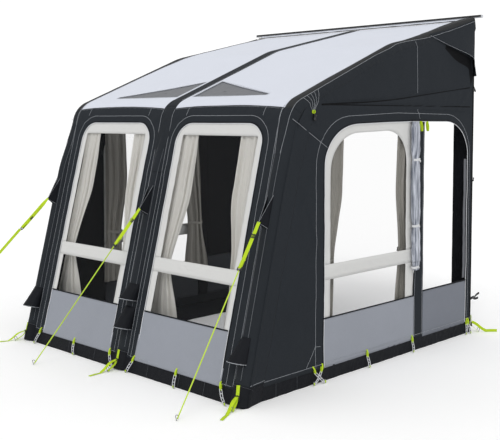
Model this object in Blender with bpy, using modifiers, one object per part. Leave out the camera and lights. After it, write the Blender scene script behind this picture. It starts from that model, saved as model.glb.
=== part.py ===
"""Inflatable campervan awning: three air beams carry a skin of fabric panels with windows, a side
door, a pale roof and a rail at the rear, held down by pegs and guy lines.

X runs along the vehicle, -Y is the front and Z is up. Every piece hangs from one empty, which puts
the middle of the footprint at the origin. Inside the empty, Y is counted from the line where the
front wall meets the ground."""

import math

import bmesh
import bpy
from mathutils import Matrix, Vector

# Overall shape, in metres
WIDTH = 2.40  # between the outer faces of the side walls
DEPTH = 2.662  # from the front foot line to the rear opening
EAVE_SETBACK = 0.467  # the front wall leans back this far
EAVE_HEIGHT = 1.839
BEND_SETBACK = 1.570  # where the roof gets flatter
BEND_HEIGHT = 2.282
REAR_HEIGHT = 2.529
EAVE_RADIUS = 0.20
BEND_RADIUS = 0.60

# Fabric, film and running clearances
FABRIC = 0.004
FILM = 0.0015
WEBBING = 0.003
GAP = 0.0004
SIDE_CLEARANCE = 0.0020  # between a side wall and the beam along its front and top
FILM_LAP = 0.012  # how far a film reaches behind its frame

# Air beams
BEAM_RADIUS = 0.060
BEAM_PROUD = 0.030  # how far a beam stands out of the front wall
SIDE_PROUD = 0.020  # how far a corner beam stands out of the side wall
SINK_HEIGHT = 1.350  # where the beams begin to sink behind the skin, measured up the wall
ROOF_BAND_WIDTH = 0.105  # dark band on top of the middle beam
ROOF_BAND_THICKNESS = 0.006
ROOF_EDGE_INSET = 0.070  # from a side wall to the edge of the roof panel
EAVE_STEPS = 7
EAVE_DARK_STEPS = 3  # how much of the eave's curve the dark front panels take
BEAM_SIDES_LEVEL = 6
SLEEVE_WALL = 0.002
TUBE_CLEARANCE = 0.001
BOOT_WALL = 0.003

# Skirt and mudwalls
SKIRT_HEIGHT = 0.085
MUDWALL_TOP = 0.423
GROUND_FLAP_WIDTH = 0.44
GROUND_FLAP_FRONT = 0.16
GROUND_FLAP_THICKNESS = 0.002

# Front windows, measured along the leaning wall from its foot
FRONT_OPENING_INNER = 0.142
FRONT_STILE = 0.210  # from a side wall to the window opening
FRONT_OPENING_OUTER = WIDTH / 2 - FRONT_STILE
FRONT_OPENING_TOP = 1.770
FRONT_CORNER_RADIUS = 0.150
FRONT_CLEAR_INNER = 0.210
FRONT_FRAME_WIDTH = 0.055
FRONT_CLEAR_OUTER = FRONT_OPENING_OUTER - FRONT_FRAME_WIDTH
FRONT_CLEAR_TOP = 1.680
FRONT_BAR_TOP = 0.810
FRONT_BAR_BOTTOM = 0.710
CLEAR_SILL = 0.014  # frame left between a mudwall and the lower clear pane

# Side walls
REAR_LEG = 0.082
SIDE_OPENING_FRONT = 0.770
SIDE_OPENING_REAR = DEPTH - REAR_LEG
SIDE_OPENING_TOP = 1.706
SIDE_CORNER_RADIUS = 0.250
SIDE_CLEAR_FRONT = 0.840
SIDE_CLEAR_TOP = 1.640
SIDE_CLEAR_RADIUS = 0.190
SIDE_BAR_TOP = 0.775
SIDE_BAR_BOTTOM = 0.672
DOORWAY = 0.625
STRIP_WIDTH = 0.130
STRIP_FRONT = SIDE_OPENING_REAR - DOORWAY - STRIP_WIDTH
SIDE_FRAME_WIDTH = 0.105
SIDE_CLEAR_REAR = STRIP_FRONT - SIDE_FRAME_WIDTH
DOOR_MUDWALL_TOP = 0.440
DOOR_SWING_CLEARANCE = 0.004

# Rolled door
ROLL_BOTTOM = 0.630
ROLL_LENGTH = 1.050
ROLL_HALF_WIDTH = 0.055
ROLL_HALF_THICKNESS = 0.021
ROLL_RIPPLE = 0.06
ROLL_PINCH = 0.24
ROLL_RINGS = 22
ROLL_TIES = (1, 7, 17)  # the rings at which it is tied

# Roof skylights, measured up the front slope of the roof
SKYLIGHT_INNER = 0.095
SKYLIGHT_TIP = 0.870
SKYLIGHT_LOW = 0.155
SKYLIGHT_HIGH = 0.470

# Rear pads and rail
PAD_WIDTH = 0.165
PAD_THICKNESS = 0.030
RAIL_OVERHANG = 0.050
RAIL_CHANNEL_RADIUS = 0.0042
RAIL_SLOT = 0.0030
RAIL_RISE = 0.030  # the channel's centre above and behind the roof's rear edge
RAIL_FRONT_WALL = 0.010
RAIL_BACK_WALL = 0.014
RAIL_TOP_WALL = 0.012
RAIL_FOOT_WALL = 0.010
RAIL_CAP = 0.006
BEAD_RADIUS = 0.0034
BEAD_STRIP = 0.0014

# Curtains and their tracks
TRACK_HEIGHT = 0.014
TRACK_DEPTH = 0.024
TRACK_ABOVE_CLEAR = 0.024
FRONT_TRACK_START = 0.186
SIDE_TRACK_START = 0.925
CURTAIN_THICKNESS = 0.003
CURTAIN_HEAD = 0.170
CURTAIN_WAIST = 0.085
CURTAIN_HEM = 0.220
CURTAIN_WAIST_HEIGHT = 0.78
CURTAIN_HEM_HEIGHT = 0.36
CURTAIN_FLARE = 1.8  # how soon above its waist a curtain has its full width
CURTAIN_FOLDS = 3.5
CURTAIN_FOLD_DEPTH = 0.034
CURTAIN_LAG = 0.025  # a curtain's waist stands this much farther inside than its head

# Guy lines: their routes go from the buckle to the peg
GUY_HEIGHT = 1.105
GUY_REACH = 0.060
GUSSET_HEIGHT = 0.130
GUY_WEB_WIDTH = 0.020
GUY_BUCKLE_LENGTH = 0.036
GUY_BUCKLE_WIDTH = 0.030
GUY_BUCKLE_THICKNESS = 0.007
GUY_LINE_RADIUS = 0.003
GUY_ROUTES = {
    "left": [
        (-1.281, 0.018, 0.866),
        (-1.426, -0.186, 0.580),
        (-1.571, -0.390, 0.292),
        (-1.716, -0.594, 0.010),
    ],
    "centre": [
        (-0.123, 0.058, 0.844),
        (-0.254, -0.080, 0.565),
        (-0.385, -0.218, 0.286),
        (-0.516, -0.356, 0.010),
    ],
    "right": [
        (1.140, 0.036, 0.827),
        (1.120, -0.112, 0.554),
        (1.101, -0.261, 0.280),
        (1.081, -0.409, 0.010),
    ],
}

# Foot straps: level distance from the foot, and height
STRAP_WIDTH = 0.020
STRAP_TOP = 0.138
STRAP_BUCKLE_TOP = 0.076
STRAP_BUCKLE_FOOT = 0.052
STRAP_BUCKLE_WIDTH = 0.028
STRAP_BUCKLE_THICKNESS = 0.008
STRAP_END = (0.062, 0.004)
STRAP_TAIL = ((0.045, 0.052), (0.092, 0.013), (0.118, 0.0022), (0.240, 0.0022))
FRONT_STRAP_TURNS = {"left": -22.5, "centre": 0.0, "right": 22.5}
REAR_STRAP_TURN = 45.0  # each rear strap stands across the wall's rear corner
REAR_STRAP_SHIFT = 0.009  # along its own width, so that it clears the pad's face

# Valves and their hoods
VALVE_RISE = 0.045  # from a hood's mouth to its valve's axis
VALVE_RADIUS = 0.020
VALVE_BODY = 0.012
VALVE_ROOT = 0.010  # how deep the stem reaches into the air tube
VALVE_CLEARANCE = 0.001
CAP_RADIUS = 0.016
CAP_HEIGHT = 0.008
HOOD_HALF_ANGLE = 58.0
HOOD_REACH = 0.080
HOOD_WALL = 0.002
# Beam, height of the mouth and length of each hood
HOODS = {
    "left": ("left", 0.260, 0.160),
    "centre_low": ("centre", 0.280, 0.160),
    "centre_high": ("centre", 0.480, 0.120),
    "right": ("right", 0.255, 0.165),
}

COLOURS = {
    "charcoal": (0.024, 0.028, 0.033, 0.85, 0.0),
    "black": (0.016, 0.018, 0.021, 0.80, 0.0),
    "roof": (0.72, 0.75, 0.82, 0.75, 0.0),
    "white": (0.76, 0.76, 0.74, 0.80, 0.0),
    "mudwall": (0.31, 0.33, 0.37, 0.70, 0.0),
    "skylight": (0.21, 0.22, 0.24, 0.40, 0.0),
    "film": (0.85, 0.88, 0.90, 0.08, 0.0),
    "curtain": (0.58, 0.56, 0.52, 0.90, 0.0),
    "lime": (0.55, 0.78, 0.03, 0.70, 0.0),
    "aluminium": (0.75, 0.76, 0.78, 0.30, 1.0),
    "plastic": (0.02, 0.02, 0.022, 0.45, 0.0),
    "bladder": (0.45, 0.46, 0.50, 0.35, 0.0),
    "roll": (0.45, 0.47, 0.52, 0.40, 0.0),
}

for leftover in list(bpy.data.objects):
    bpy.data.objects.remove(leftover, do_unlink=True)

parts = bpy.data.collections.new("campervan_awning")
cutters = bpy.data.collections.new("cutters")
bpy.context.scene.collection.children.link(parts)
bpy.context.scene.collection.children.link(cutters)

root = bpy.data.objects.new("awning_origin", None)
parts.objects.link(root)


def material(name):
    """Principled material of one of the COLOURS, made once."""
    found = bpy.data.materials.get(name)
    if found:
        return found
    red, green, blue, roughness, metallic = COLOURS[name]
    made = bpy.data.materials.new(name)
    made.use_nodes = True
    shader = made.node_tree.nodes["Principled BSDF"]
    shader.inputs["Base Color"].default_value = (red, green, blue, 1.0)
    shader.inputs["Roughness"].default_value = roughness
    shader.inputs["Metallic"].default_value = metallic
    return made


def finish(piece, mesh, colour, frame=None, smooth=False):
    """Put a mesh into the awning under its node name, in its frame."""
    made = bpy.data.objects.new(piece, mesh)
    mesh.materials.clear()
    mesh.materials.append(material(colour))
    parts.objects.link(made)
    made.parent = root
    if frame is not None:
        made.matrix_basis = frame
    if smooth:
        mesh.shade_smooth()
        mesh.set_sharp_from_angle(angle=math.radians(40))
    return made


def close_body(mesh):
    """Weld loose caps and turn all faces outwards."""
    work = bmesh.new()
    work.from_mesh(mesh)
    bmesh.ops.remove_doubles(work, verts=work.verts, dist=1e-6)
    bmesh.ops.recalc_face_normals(work, faces=work.faces)
    work.to_mesh(mesh)
    work.free()


def curve_mesh(curve):
    """The closed mesh of a curve, with the curve itself removed."""
    holder = bpy.data.objects.new(curve.name, curve)
    parts.objects.link(holder)
    ready = holder.evaluated_get(bpy.context.evaluated_depsgraph_get())
    mesh = bpy.data.meshes.new_from_object(ready)
    bpy.data.objects.remove(holder, do_unlink=True)
    close_body(mesh)
    return mesh


def plate_mesh(loops, low, high):
    """Flat plate: an outline and its holes, from low to high along the third axis."""
    curve = bpy.data.curves.new("outline", "CURVE")
    curve.dimensions = "2D"
    curve.fill_mode = "BOTH"
    curve.extrude = (high - low) / 2
    for loop in loops:
        spline = curve.splines.new("POLY")
        spline.points.add(len(loop) - 1)
        for knot, (across, up) in zip(spline.points, loop):
            knot.co = (across, up, 0.0, 1.0)
        spline.use_cyclic_u = True
    mesh = curve_mesh(curve)
    mesh.transform(Matrix.Translation((0.0, 0.0, (low + high) / 2)))
    return mesh


def plate(piece, loops, low, high, frame, colour):
    return finish(piece, plate_mesh(loops, low, high), colour, frame)


def tube_mesh(points, radius, sides_level=4, open_ends=False):
    """Round tube along a polyline, with filled ends unless they are left open."""
    curve = bpy.data.curves.new("route", "CURVE")
    curve.dimensions = "3D"
    curve.bevel_depth = radius
    curve.bevel_resolution = sides_level
    curve.use_fill_caps = not open_ends
    spline = curve.splines.new("POLY")
    spline.points.add(len(points) - 1)
    for knot, place in zip(spline.points, points):
        knot.co = (*place, 1.0)
    return curve_mesh(curve)


def cutter(name, mesh, frame=None):
    """Hidden body for cutting others."""
    made = bpy.data.objects.new(name, mesh)
    cutters.objects.link(made)
    made.parent = root
    if frame is not None:
        made.matrix_basis = frame
    made.hide_render = True
    made.display_type = "WIRE"
    return made


def combine(piece, tool, operation):
    modifier = piece.modifiers.new(operation.lower() + "_" + tool.name, "BOOLEAN")
    modifier.operation = operation
    modifier.solver = "EXACT"
    modifier.object = tool


def cut(piece, tool):
    combine(piece, tool, "DIFFERENCE")


def unite(piece, tool):
    combine(piece, tool, "UNION")


def box_mesh(low, high):
    """Box between two corners."""
    work = bmesh.new()
    bmesh.ops.create_cube(work, size=1.0)
    low = Vector(low)
    high = Vector(high)
    size = high - low
    bmesh.ops.scale(work, verts=work.verts, vec=size)
    bmesh.ops.translate(work, verts=work.verts, vec=(low + high) / 2)
    mesh = bpy.data.meshes.new("box")
    work.to_mesh(mesh)
    work.free()
    return mesh


def rounded(corners, steps=6):
    """Outline through (across, up, radius) corners, with each radius drawn as an arc."""
    outline = []
    count = len(corners)
    for index, (across, up, radius) in enumerate(corners):
        here = Vector((across, up))
        if radius <= 0:
            outline.append((across, up))
            continue
        before = Vector(corners[index - 1][:2])
        after = Vector(corners[(index + 1) % count][:2])
        back = (before - here).normalized()
        ahead = (after - here).normalized()
        half = back.angle(ahead) / 2
        centre = here + (back + ahead).normalized() * (radius / math.sin(half))
        first = here + back * (radius / math.tan(half)) - centre
        last = here + ahead * (radius / math.tan(half)) - centre
        turn = first.angle_signed(last)
        for step in range(steps + 1):
            spoke = first.copy()
            spoke.rotate(Matrix.Rotation(-turn * step / steps, 2))
            outline.append(tuple(centre + spoke))
    return outline


def mirror_across(outline):
    return [(-across, up) for across, up in outline]


# The profile of the skin: up the front wall, over the eave, along both roof slopes
FOOT = Vector((0.0, 0.0))
EAVE = Vector((EAVE_SETBACK, EAVE_HEIGHT))
BEND = Vector((BEND_SETBACK, BEND_HEIGHT))
REAR = Vector((DEPTH, REAR_HEIGHT))
WALL_RUN = (EAVE - FOOT).normalized()
SLOPE_RUN = (BEND - EAVE).normalized()
TOP_RUN = (REAR - BEND).normalized()
LEAN = math.atan2(EAVE_SETBACK, EAVE_HEIGHT)


def inward(run):
    """Direction into the tent, square to a run of the profile."""
    return Vector((run.y, -run.x))


def turn_run(run, angle):
    return Vector(
        (
            run.x * math.cos(angle) + run.y * math.sin(angle),
            run.y * math.cos(angle) - run.x * math.sin(angle),
        )
    )


def corner_samples(corner, run_in, run_out, radius, steps):
    """Points and runs round one rounded corner of the profile."""
    turn = run_in.angle(run_out)
    centre = corner - run_in * (radius * math.tan(turn / 2)) + inward(run_in) * radius
    samples = []
    for step in range(steps + 1):
        run = turn_run(run_in, turn * step / steps)
        samples.append((centre - inward(run) * radius, run))
    return samples


EAVE_SAMPLES = corner_samples(EAVE, WALL_RUN, SLOPE_RUN, EAVE_RADIUS, EAVE_STEPS)
BEND_SAMPLES = corner_samples(BEND, SLOPE_RUN, TOP_RUN, BEND_RADIUS, 3)
WALL_LENGTH = (EAVE_SAMPLES[0][0] - FOOT).length


def profile(depth):
    """Points of the profile's two corners, set inwards by depth."""
    return [point + inward(run) * depth for point, run in EAVE_SAMPLES + BEND_SAMPLES]


def wall_point(depth, height):
    """Point of the front wall's line, set inwards by depth, at a height."""
    start = FOOT + inward(WALL_RUN) * depth
    return start + WALL_RUN * ((height - start.y) / WALL_RUN.y)


def top_point(depth, setback):
    """Point of the upper roof slope's line, set inwards by depth, at a setback."""
    start = REAR + inward(TOP_RUN) * depth
    return start + TOP_RUN * ((setback - start.x) / TOP_RUN.x)


def chord(radius, distance):
    """Half the width of a beam where a flat sheet passes its centre at a distance."""
    return math.sqrt(radius * radius - distance * distance)


BEAM_DEPTH = BEAM_RADIUS - BEAM_PROUD
ROOF_BEAM_DEPTH = BEAM_RADIUS + FABRIC + GAP
BEAM_X = WIDTH / 2 + SIDE_PROUD - BEAM_RADIUS
ROOF_BEAM_X = WIDTH / 2 - BEAM_RADIUS
BEAMS = {"left": -BEAM_X, "centre": 0.0, "right": BEAM_X}
BOOT_RADIUS = BEAM_RADIUS + GAP + BOOT_WALL
BLADDER_RADIUS = BEAM_RADIUS - SLEEVE_WALL - TUBE_CLEARANCE
SEAM_RADIUS = BEAM_RADIUS - 0.85 * SLEEVE_WALL  # where things sewn to a sleeve begin

# Frames: front wall, lower roof slope and vertical planes that face sideways
FRONT = Matrix(
    (
        (1.0, 0.0, 0.0, 0.0),
        (0.0, WALL_RUN.x, -WALL_RUN.y, 0.0),
        (0.0, WALL_RUN.y, WALL_RUN.x, 0.0),
        (0.0, 0.0, 0.0, 1.0),
    )
)
SLOPE = Matrix(
    (
        (1.0, 0.0, 0.0, 0.0),
        (0.0, SLOPE_RUN.x, -SLOPE_RUN.y, EAVE.x),
        (0.0, SLOPE_RUN.y, SLOPE_RUN.x, EAVE.y),
        (0.0, 0.0, 0.0, 1.0),
    )
)
SIDEWAYS = Matrix(((0, 0, 1, 0), (1, 0, 0, 0), (0, 1, 0, 0), (0, 0, 0, 1)))


def side_span(side, near, far):
    """Low and high X of something between near and far from the middle, on one side."""
    return (near, far) if side > 0 else (-far, -near)


WALL_INSIDE = WIDTH / 2 - FABRIC

ground_cutter = cutter(
    "ground_cutter",
    box_mesh((-WIDTH, -DEPTH, -REAR_HEIGHT), (WIDTH, 2 * DEPTH, 0.0)),
)
rear_cutter = cutter(
    "rear_cutter",
    box_mesh((-WIDTH, DEPTH, REAR_HEIGHT / 2), (WIDTH, 2 * DEPTH, 2 * REAR_HEIGHT)),
)
above_skirt_cutter = cutter(
    "above_skirt_cutter",
    box_mesh((-WIDTH, -DEPTH, SKIRT_HEIGHT), (WIDTH, DEPTH, REAR_HEIGHT)),
)


def sinking_stations():
    """Points on the wall where a beam sinks behind it: point, and share of the way from 0 to 1."""
    stations = []
    for step in range(5):
        share = step / 5
        reach = SINK_HEIGHT + (WALL_LENGTH - SINK_HEIGHT) * share
        stations.append((FOOT + WALL_RUN * reach, share * share * (3 - 2 * share)))
    return stations


def beam_route(across):
    """Centre line of a beam, from below the ground to past the rear."""
    shift = math.copysign(ROOF_BEAM_X, across) - across if across else 0.0
    start = wall_point(BEAM_DEPTH, 0.0) - WALL_RUN * (2 * BEAM_RADIUS)
    route = [(across, start.x, start.y)]
    for point, sunk in sinking_stations():
        depth = BEAM_DEPTH + (ROOF_BEAM_DEPTH - BEAM_DEPTH) * sunk
        point = point + inward(WALL_RUN) * depth
        route.append((across + shift * sunk, point.x, point.y))
    end = top_point(ROOF_BEAM_DEPTH, DEPTH) + TOP_RUN * BEAM_RADIUS
    route += [(across + shift, point.x, point.y) for point in profile(ROOF_BEAM_DEPTH) + [end]]
    return route


def disc_mesh(radius, low, height):
    """Flat-ended cylinder that stands on the third axis."""
    work = bmesh.new()
    bmesh.ops.create_cone(
        work, cap_ends=True, segments=24, radius1=radius, radius2=radius, depth=height
    )
    bmesh.ops.translate(work, verts=work.verts, vec=(0, 0, low + height / 2))
    mesh = bpy.data.meshes.new("disc")
    work.to_mesh(mesh)
    work.free()
    return mesh


def make_hood(name, across, mouth, length):
    """Cowl over a valve: it hugs the beam at its top and sides and bulges towards its mouth."""
    work = bmesh.new()
    bmesh.ops.create_grid(work, x_segments=10, y_segments=4, size=0.5)
    for vertex in work.verts:
        share = vertex.co.x
        drop = 0.5 - vertex.co.y
        angle = 2 * math.radians(HOOD_HALF_ANGLE) * share
        bulge = max(math.cos(math.pi * share), 0.0) ** 0.8
        distance = SEAM_RADIUS + HOOD_REACH * drop * bulge
        vertex.co = (
            across + distance * math.sin(angle),
            mouth + length * (1 - drop),
            distance * math.cos(angle) - BEAM_DEPTH,
        )
    mesh = bpy.data.meshes.new("cowl")
    work.to_mesh(mesh)
    work.free()
    hood = cutter("hood_" + name, mesh, FRONT)
    shell = hood.modifiers.new("wall", "SOLIDIFY")
    shell.thickness = HOOD_WALL
    shell.offset = 1.0
    return hood


def make_gusset(name, across):
    """Fin on a beam that a guy line pulls at."""
    high = wall_point(BEAM_DEPTH - SEAM_RADIUS, GUY_HEIGHT + GUSSET_HEIGHT)
    low = wall_point(BEAM_DEPTH - SEAM_RADIUS, GUY_HEIGHT)
    tip = wall_point(-BEAM_PROUD - GUY_REACH, GUY_HEIGHT)
    fin = [tuple(low), tuple(high), tuple(tip)]
    mesh = plate_mesh([fin], across - FABRIC / 2, across + FABRIC / 2)
    return cutter("gusset_" + name, mesh, SIDEWAYS)


def skin_section(samples, depth):
    """Outer and inner points of a stretch of the skin, seen from the side."""
    outer = [tuple(point) for point, run in samples]
    inner = [tuple(point + inward(run) * depth) for point, run in samples]
    return outer, inner


def roof_outline(depth):
    """The roof seen from the side, from where the dark front panels end to the upright rear."""
    corner = EAVE_SAMPLES[EAVE_DARK_STEPS:]
    point, run = corner[0]
    start = (point + run * GAP, run)
    outer, inner = skin_section([start] + corner[1:] + BEND_SAMPLES, depth)
    return outer + [tuple(REAR), tuple(top_point(depth, DEPTH))] + inner[::-1]


def make_roof_band():
    """Dark strip sewn along the top of the middle beam."""
    half = ROOF_BAND_WIDTH / 2
    mesh = plate_mesh([roof_outline(ROOF_BAND_THICKNESS)], -half, half)
    return cutter("roof_band", mesh, SIDEWAYS)


def make_beams():
    """Fabric sleeves with their hoods and gussets, and the air tubes inside with their valves."""
    for name, across in BEAMS.items():
        route = beam_route(across)
        mesh = tube_mesh(route, BEAM_RADIUS, BEAM_SIDES_LEVEL, open_ends=True)
        sleeve = finish(name + "_beam_sleeve", mesh, "charcoal", smooth=True)
        shell = sleeve.modifiers.new("wall", "SOLIDIFY")
        shell.thickness = SLEEVE_WALL
        shell.offset = -1.0
        bladder = tube_mesh(route, BLADDER_RADIUS, BEAM_SIDES_LEVEL)
        tube = finish(name + "_air_tube", bladder, "bladder", smooth=True)
        for piece in (sleeve, tube):
            cut(piece, ground_cutter)
            cut(piece, rear_cutter)
        unite(sleeve, make_gusset(name, across))
        if not across:
            unite(sleeve, make_roof_band())
        for hood_name, (beam, mouth, length) in HOODS.items():
            if beam == name:
                unite(sleeve, make_hood(hood_name, across, mouth, length))
                make_valve(hood_name, across, mouth + VALVE_RISE, sleeve, tube)


def make_valve(name, across, height, sleeve, tube):
    """Valve stem welded to its air tube, the hole it passes through and its screw cap."""
    place = FRONT @ Matrix.Translation((across, height, 0.0))
    root_depth = BLADDER_RADIUS - BEAM_DEPTH - VALVE_ROOT
    head = BEAM_PROUD + VALVE_BODY
    hole = disc_mesh(VALVE_RADIUS + VALVE_CLEARANCE, root_depth, head - root_depth)
    cut(sleeve, cutter("valve_hole_" + name, hole, place))
    stem = disc_mesh(VALVE_RADIUS, root_depth, head - root_depth)
    unite(tube, cutter("valve_stem_" + name, stem, place))
    cap = disc_mesh(CAP_RADIUS, head + GAP, CAP_HEIGHT)
    finish("valve_cap_" + name, cap, "plastic", place, smooth=True)


FRONT_EDGE = chord(BEAM_RADIUS, BEAM_DEPTH - FABRIC) + GAP  # from a beam's centre to a panel's edge
FRONT_BOTTOM = (SKIRT_HEIGHT + GAP) / math.cos(LEAN) + FABRIC * math.tan(LEAN)
FRONT_MUDWALL_TOP = MUDWALL_TOP / math.cos(LEAN)
BAY_SIDES = {"left": -1, "right": 1}


def bay_outline(outline, side):
    return outline if side > 0 else mirror_across(outline)


def make_front_bay(name, side):
    """Dark panel, window frame and film of one front bay."""
    inner = FRONT_OPENING_INNER
    outer = FRONT_OPENING_OUTER
    top = FRONT_OPENING_TOP
    radius = FRONT_CORNER_RADIUS
    arch = rounded(
        [
            (FRONT_EDGE, FRONT_BOTTOM, 0),
            (inner, FRONT_BOTTOM, 0),
            (inner, top, radius),
            (outer, top, radius),
            (outer, FRONT_BOTTOM, 0),
            (BEAM_X - FRONT_EDGE, FRONT_BOTTOM, 0),
            (BEAM_X - FRONT_EDGE, WALL_LENGTH, 0),
            (FRONT_EDGE, WALL_LENGTH, 0),
        ]
    )
    panel = plate("front_panel_" + name, [bay_outline(arch, side)], -FABRIC, 0.0, FRONT, "charcoal")
    lap = (EAVE_SAMPLES[0][0] - WALL_RUN * (2 * FABRIC), WALL_RUN)
    above, below = skin_section([lap] + EAVE_SAMPLES[: EAVE_DARK_STEPS + 1], FABRIC)
    span = side_span(side, FRONT_EDGE, BEAM_X - FRONT_EDGE)
    strip = plate_mesh([above + below[::-1]], *span)
    unite(panel, cutter("eave_strip_" + name, strip, SIDEWAYS))
    sill = FRONT_MUDWALL_TOP + GAP
    frame_loop = rounded(
        [
            (inner + GAP, sill, 0),
            (inner + GAP, top - GAP, radius - GAP),
            (outer - GAP, top - GAP, radius - GAP),
            (outer - GAP, sill, 0),
        ]
    )
    upper = rounded(
        [
            (FRONT_CLEAR_INNER, FRONT_BAR_TOP, 0),
            (FRONT_CLEAR_INNER, FRONT_CLEAR_TOP, 0.02),
            (FRONT_CLEAR_OUTER, FRONT_CLEAR_TOP, 0.02),
            (FRONT_CLEAR_OUTER, FRONT_BAR_TOP, 0),
        ],
        3,
    )
    lower = [
        (FRONT_CLEAR_INNER, sill + CLEAR_SILL),
        (FRONT_CLEAR_INNER, FRONT_BAR_BOTTOM),
        (FRONT_CLEAR_OUTER, FRONT_BAR_BOTTOM),
        (FRONT_CLEAR_OUTER, sill + CLEAR_SILL),
    ]
    loops = [bay_outline(loop, side) for loop in (frame_loop, upper, lower)]
    frame = plate("front_window_frame_" + name, loops, -FABRIC, 0.0, FRONT, "white")
    low = FRONT_CLEAR_TOP + TRACK_ABOVE_CLEAR
    track = rectangle(FRONT_TRACK_START, low, FRONT_CLEAR_OUTER + FILM_LAP, low + TRACK_HEIGHT)
    depth = FABRIC + GAP + TRACK_DEPTH
    mesh = plate_mesh([bay_outline(track, side)], -depth, -FABRIC / 2)
    unite(frame, cutter("front_track_" + name, mesh, FRONT))


def make_front_film(name, side):
    low = FRONT_MUDWALL_TOP + 2 * GAP
    high = FRONT_CLEAR_TOP + FILM_LAP
    loop = [
        (FRONT_CLEAR_INNER - FILM_LAP, low),
        (FRONT_CLEAR_INNER - FILM_LAP, high),
        (FRONT_CLEAR_OUTER + FILM_LAP, high),
        (FRONT_CLEAR_OUTER + FILM_LAP, low),
    ]
    depth = FABRIC + GAP
    mesh = plate_mesh([bay_outline(loop, side)], -depth - FILM, -depth)
    finish("front_film_" + name, mesh, "film", FRONT)


def make_side_film(name, side):
    high = SIDE_CLEAR_TOP + FILM_LAP
    loop = [
        (SIDE_CLEAR_FRONT - FILM_LAP, MUDWALL_TOP + 2 * GAP),
        (SIDE_CLEAR_FRONT - FILM_LAP, high),
        (SIDE_CLEAR_REAR + FILM_LAP, high),
        (SIDE_CLEAR_REAR + FILM_LAP, MUDWALL_TOP + 2 * GAP),
    ]
    outer = WALL_INSIDE - GAP
    plate("side_film_" + name, [loop], *side_span(side, outer - FILM, outer), SIDEWAYS, "film")


SIDE_BOTTOM = SKIRT_HEIGHT + GAP
STRIP_REAR = STRIP_FRONT + STRIP_WIDTH
DOOR_FRONT = STRIP_REAR + GAP
DOOR_REAR = SIDE_OPENING_REAR - DOOR_SWING_CLEARANCE


def side_edge(sunk):
    """Depth at which a side wall starts, beside a beam that is sunk by a share from 0 to 1."""
    depth = BEAM_DEPTH + (ROOF_BEAM_DEPTH - BEAM_DEPTH) * sunk
    beyond = WALL_INSIDE - BEAM_X - (ROOF_BEAM_X - BEAM_X) * sunk
    return depth + chord(BEAM_RADIUS, beyond) + SIDE_CLEARANCE


def make_side_walls():
    """Side walls: dark leg, window opening, dark strip, doorway and rear leg under the gable."""
    edge = [tuple(wall_point(side_edge(0.0), SIDE_BOTTOM))]
    for point, sunk in sinking_stations():
        edge.append(tuple(point + inward(WALL_RUN) * side_edge(sunk)))
    edge += [tuple(point) for point in profile(side_edge(1.0))]
    edge.append(tuple(top_point(side_edge(1.0), DEPTH)))
    arch = rounded(
        [
            (DEPTH, SIDE_BOTTOM, 0),
            (SIDE_OPENING_REAR, SIDE_BOTTOM, 0),
            (SIDE_OPENING_REAR, SIDE_OPENING_TOP, SIDE_CORNER_RADIUS),
            (STRIP_REAR, SIDE_OPENING_TOP, 0),
            (STRIP_REAR, SIDE_BOTTOM, 0),
            (STRIP_FRONT, SIDE_BOTTOM, 0),
            (STRIP_FRONT, SIDE_OPENING_TOP, 0),
            (SIDE_OPENING_FRONT, SIDE_OPENING_TOP, SIDE_CORNER_RADIUS),
            (SIDE_OPENING_FRONT, SIDE_BOTTOM, 0),
        ],
        8,
    )
    for name, side in BAY_SIDES.items():
        low, high = side_span(side, WALL_INSIDE, WIDTH / 2)
        plate("side_wall_" + name, [edge + arch], low, high, SIDEWAYS, "charcoal")


def make_side_frame(name, side):
    sill = MUDWALL_TOP + GAP
    top = SIDE_OPENING_TOP - GAP
    front = SIDE_OPENING_FRONT + GAP
    rear = STRIP_FRONT - GAP
    outline = rounded(
        [
            (front, sill, 0),
            (front, top, SIDE_CORNER_RADIUS - GAP),
            (rear, top, 0),
            (rear, sill, 0),
        ],
        8,
    )
    upper = rounded(
        [
            (SIDE_CLEAR_FRONT, SIDE_BAR_TOP, 0),
            (SIDE_CLEAR_FRONT, SIDE_CLEAR_TOP, SIDE_CLEAR_RADIUS),
            (SIDE_CLEAR_REAR, SIDE_CLEAR_TOP, SIDE_CLEAR_RADIUS),
            (SIDE_CLEAR_REAR, SIDE_BAR_TOP, 0),
        ]
    )
    lower = rectangle(SIDE_CLEAR_FRONT, sill + CLEAR_SILL, SIDE_CLEAR_REAR, SIDE_BAR_BOTTOM)
    span = side_span(side, WALL_INSIDE, WIDTH / 2)
    loops = [outline, upper, lower]
    frame = plate("side_window_frame_" + name, loops, *span, SIDEWAYS, "white")
    low = SIDE_CLEAR_TOP + TRACK_ABOVE_CLEAR
    track = rectangle(SIDE_TRACK_START, low, rear - GAP, low + TRACK_HEIGHT)
    span = side_span(side, WALL_INSIDE - GAP - TRACK_DEPTH, WALL_INSIDE + FABRIC / 2)
    unite(frame, cutter("side_track_" + name, plate_mesh([track], *span), SIDEWAYS))


def rectangle(left, low, right, high):
    return [(left, low), (left, high), (right, high), (right, low)]


def make_mudwalls(name, side):
    """Grey panels below the front and side windows."""
    front_loop = rectangle(
        FRONT_OPENING_INNER + GAP,
        FRONT_BOTTOM,
        FRONT_OPENING_OUTER - GAP,
        FRONT_MUDWALL_TOP,
    )
    loops = [bay_outline(front_loop, side)]
    plate("front_mudwall_" + name, loops, -FABRIC, 0.0, FRONT, "mudwall")
    side_loop = rectangle(SIDE_OPENING_FRONT + GAP, SIDE_BOTTOM, STRIP_FRONT - GAP, MUDWALL_TOP)
    span = side_span(side, WALL_INSIDE, WIDTH / 2)
    plate("side_mudwall_" + name, [side_loop], *span, SIDEWAYS, "mudwall")


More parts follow.
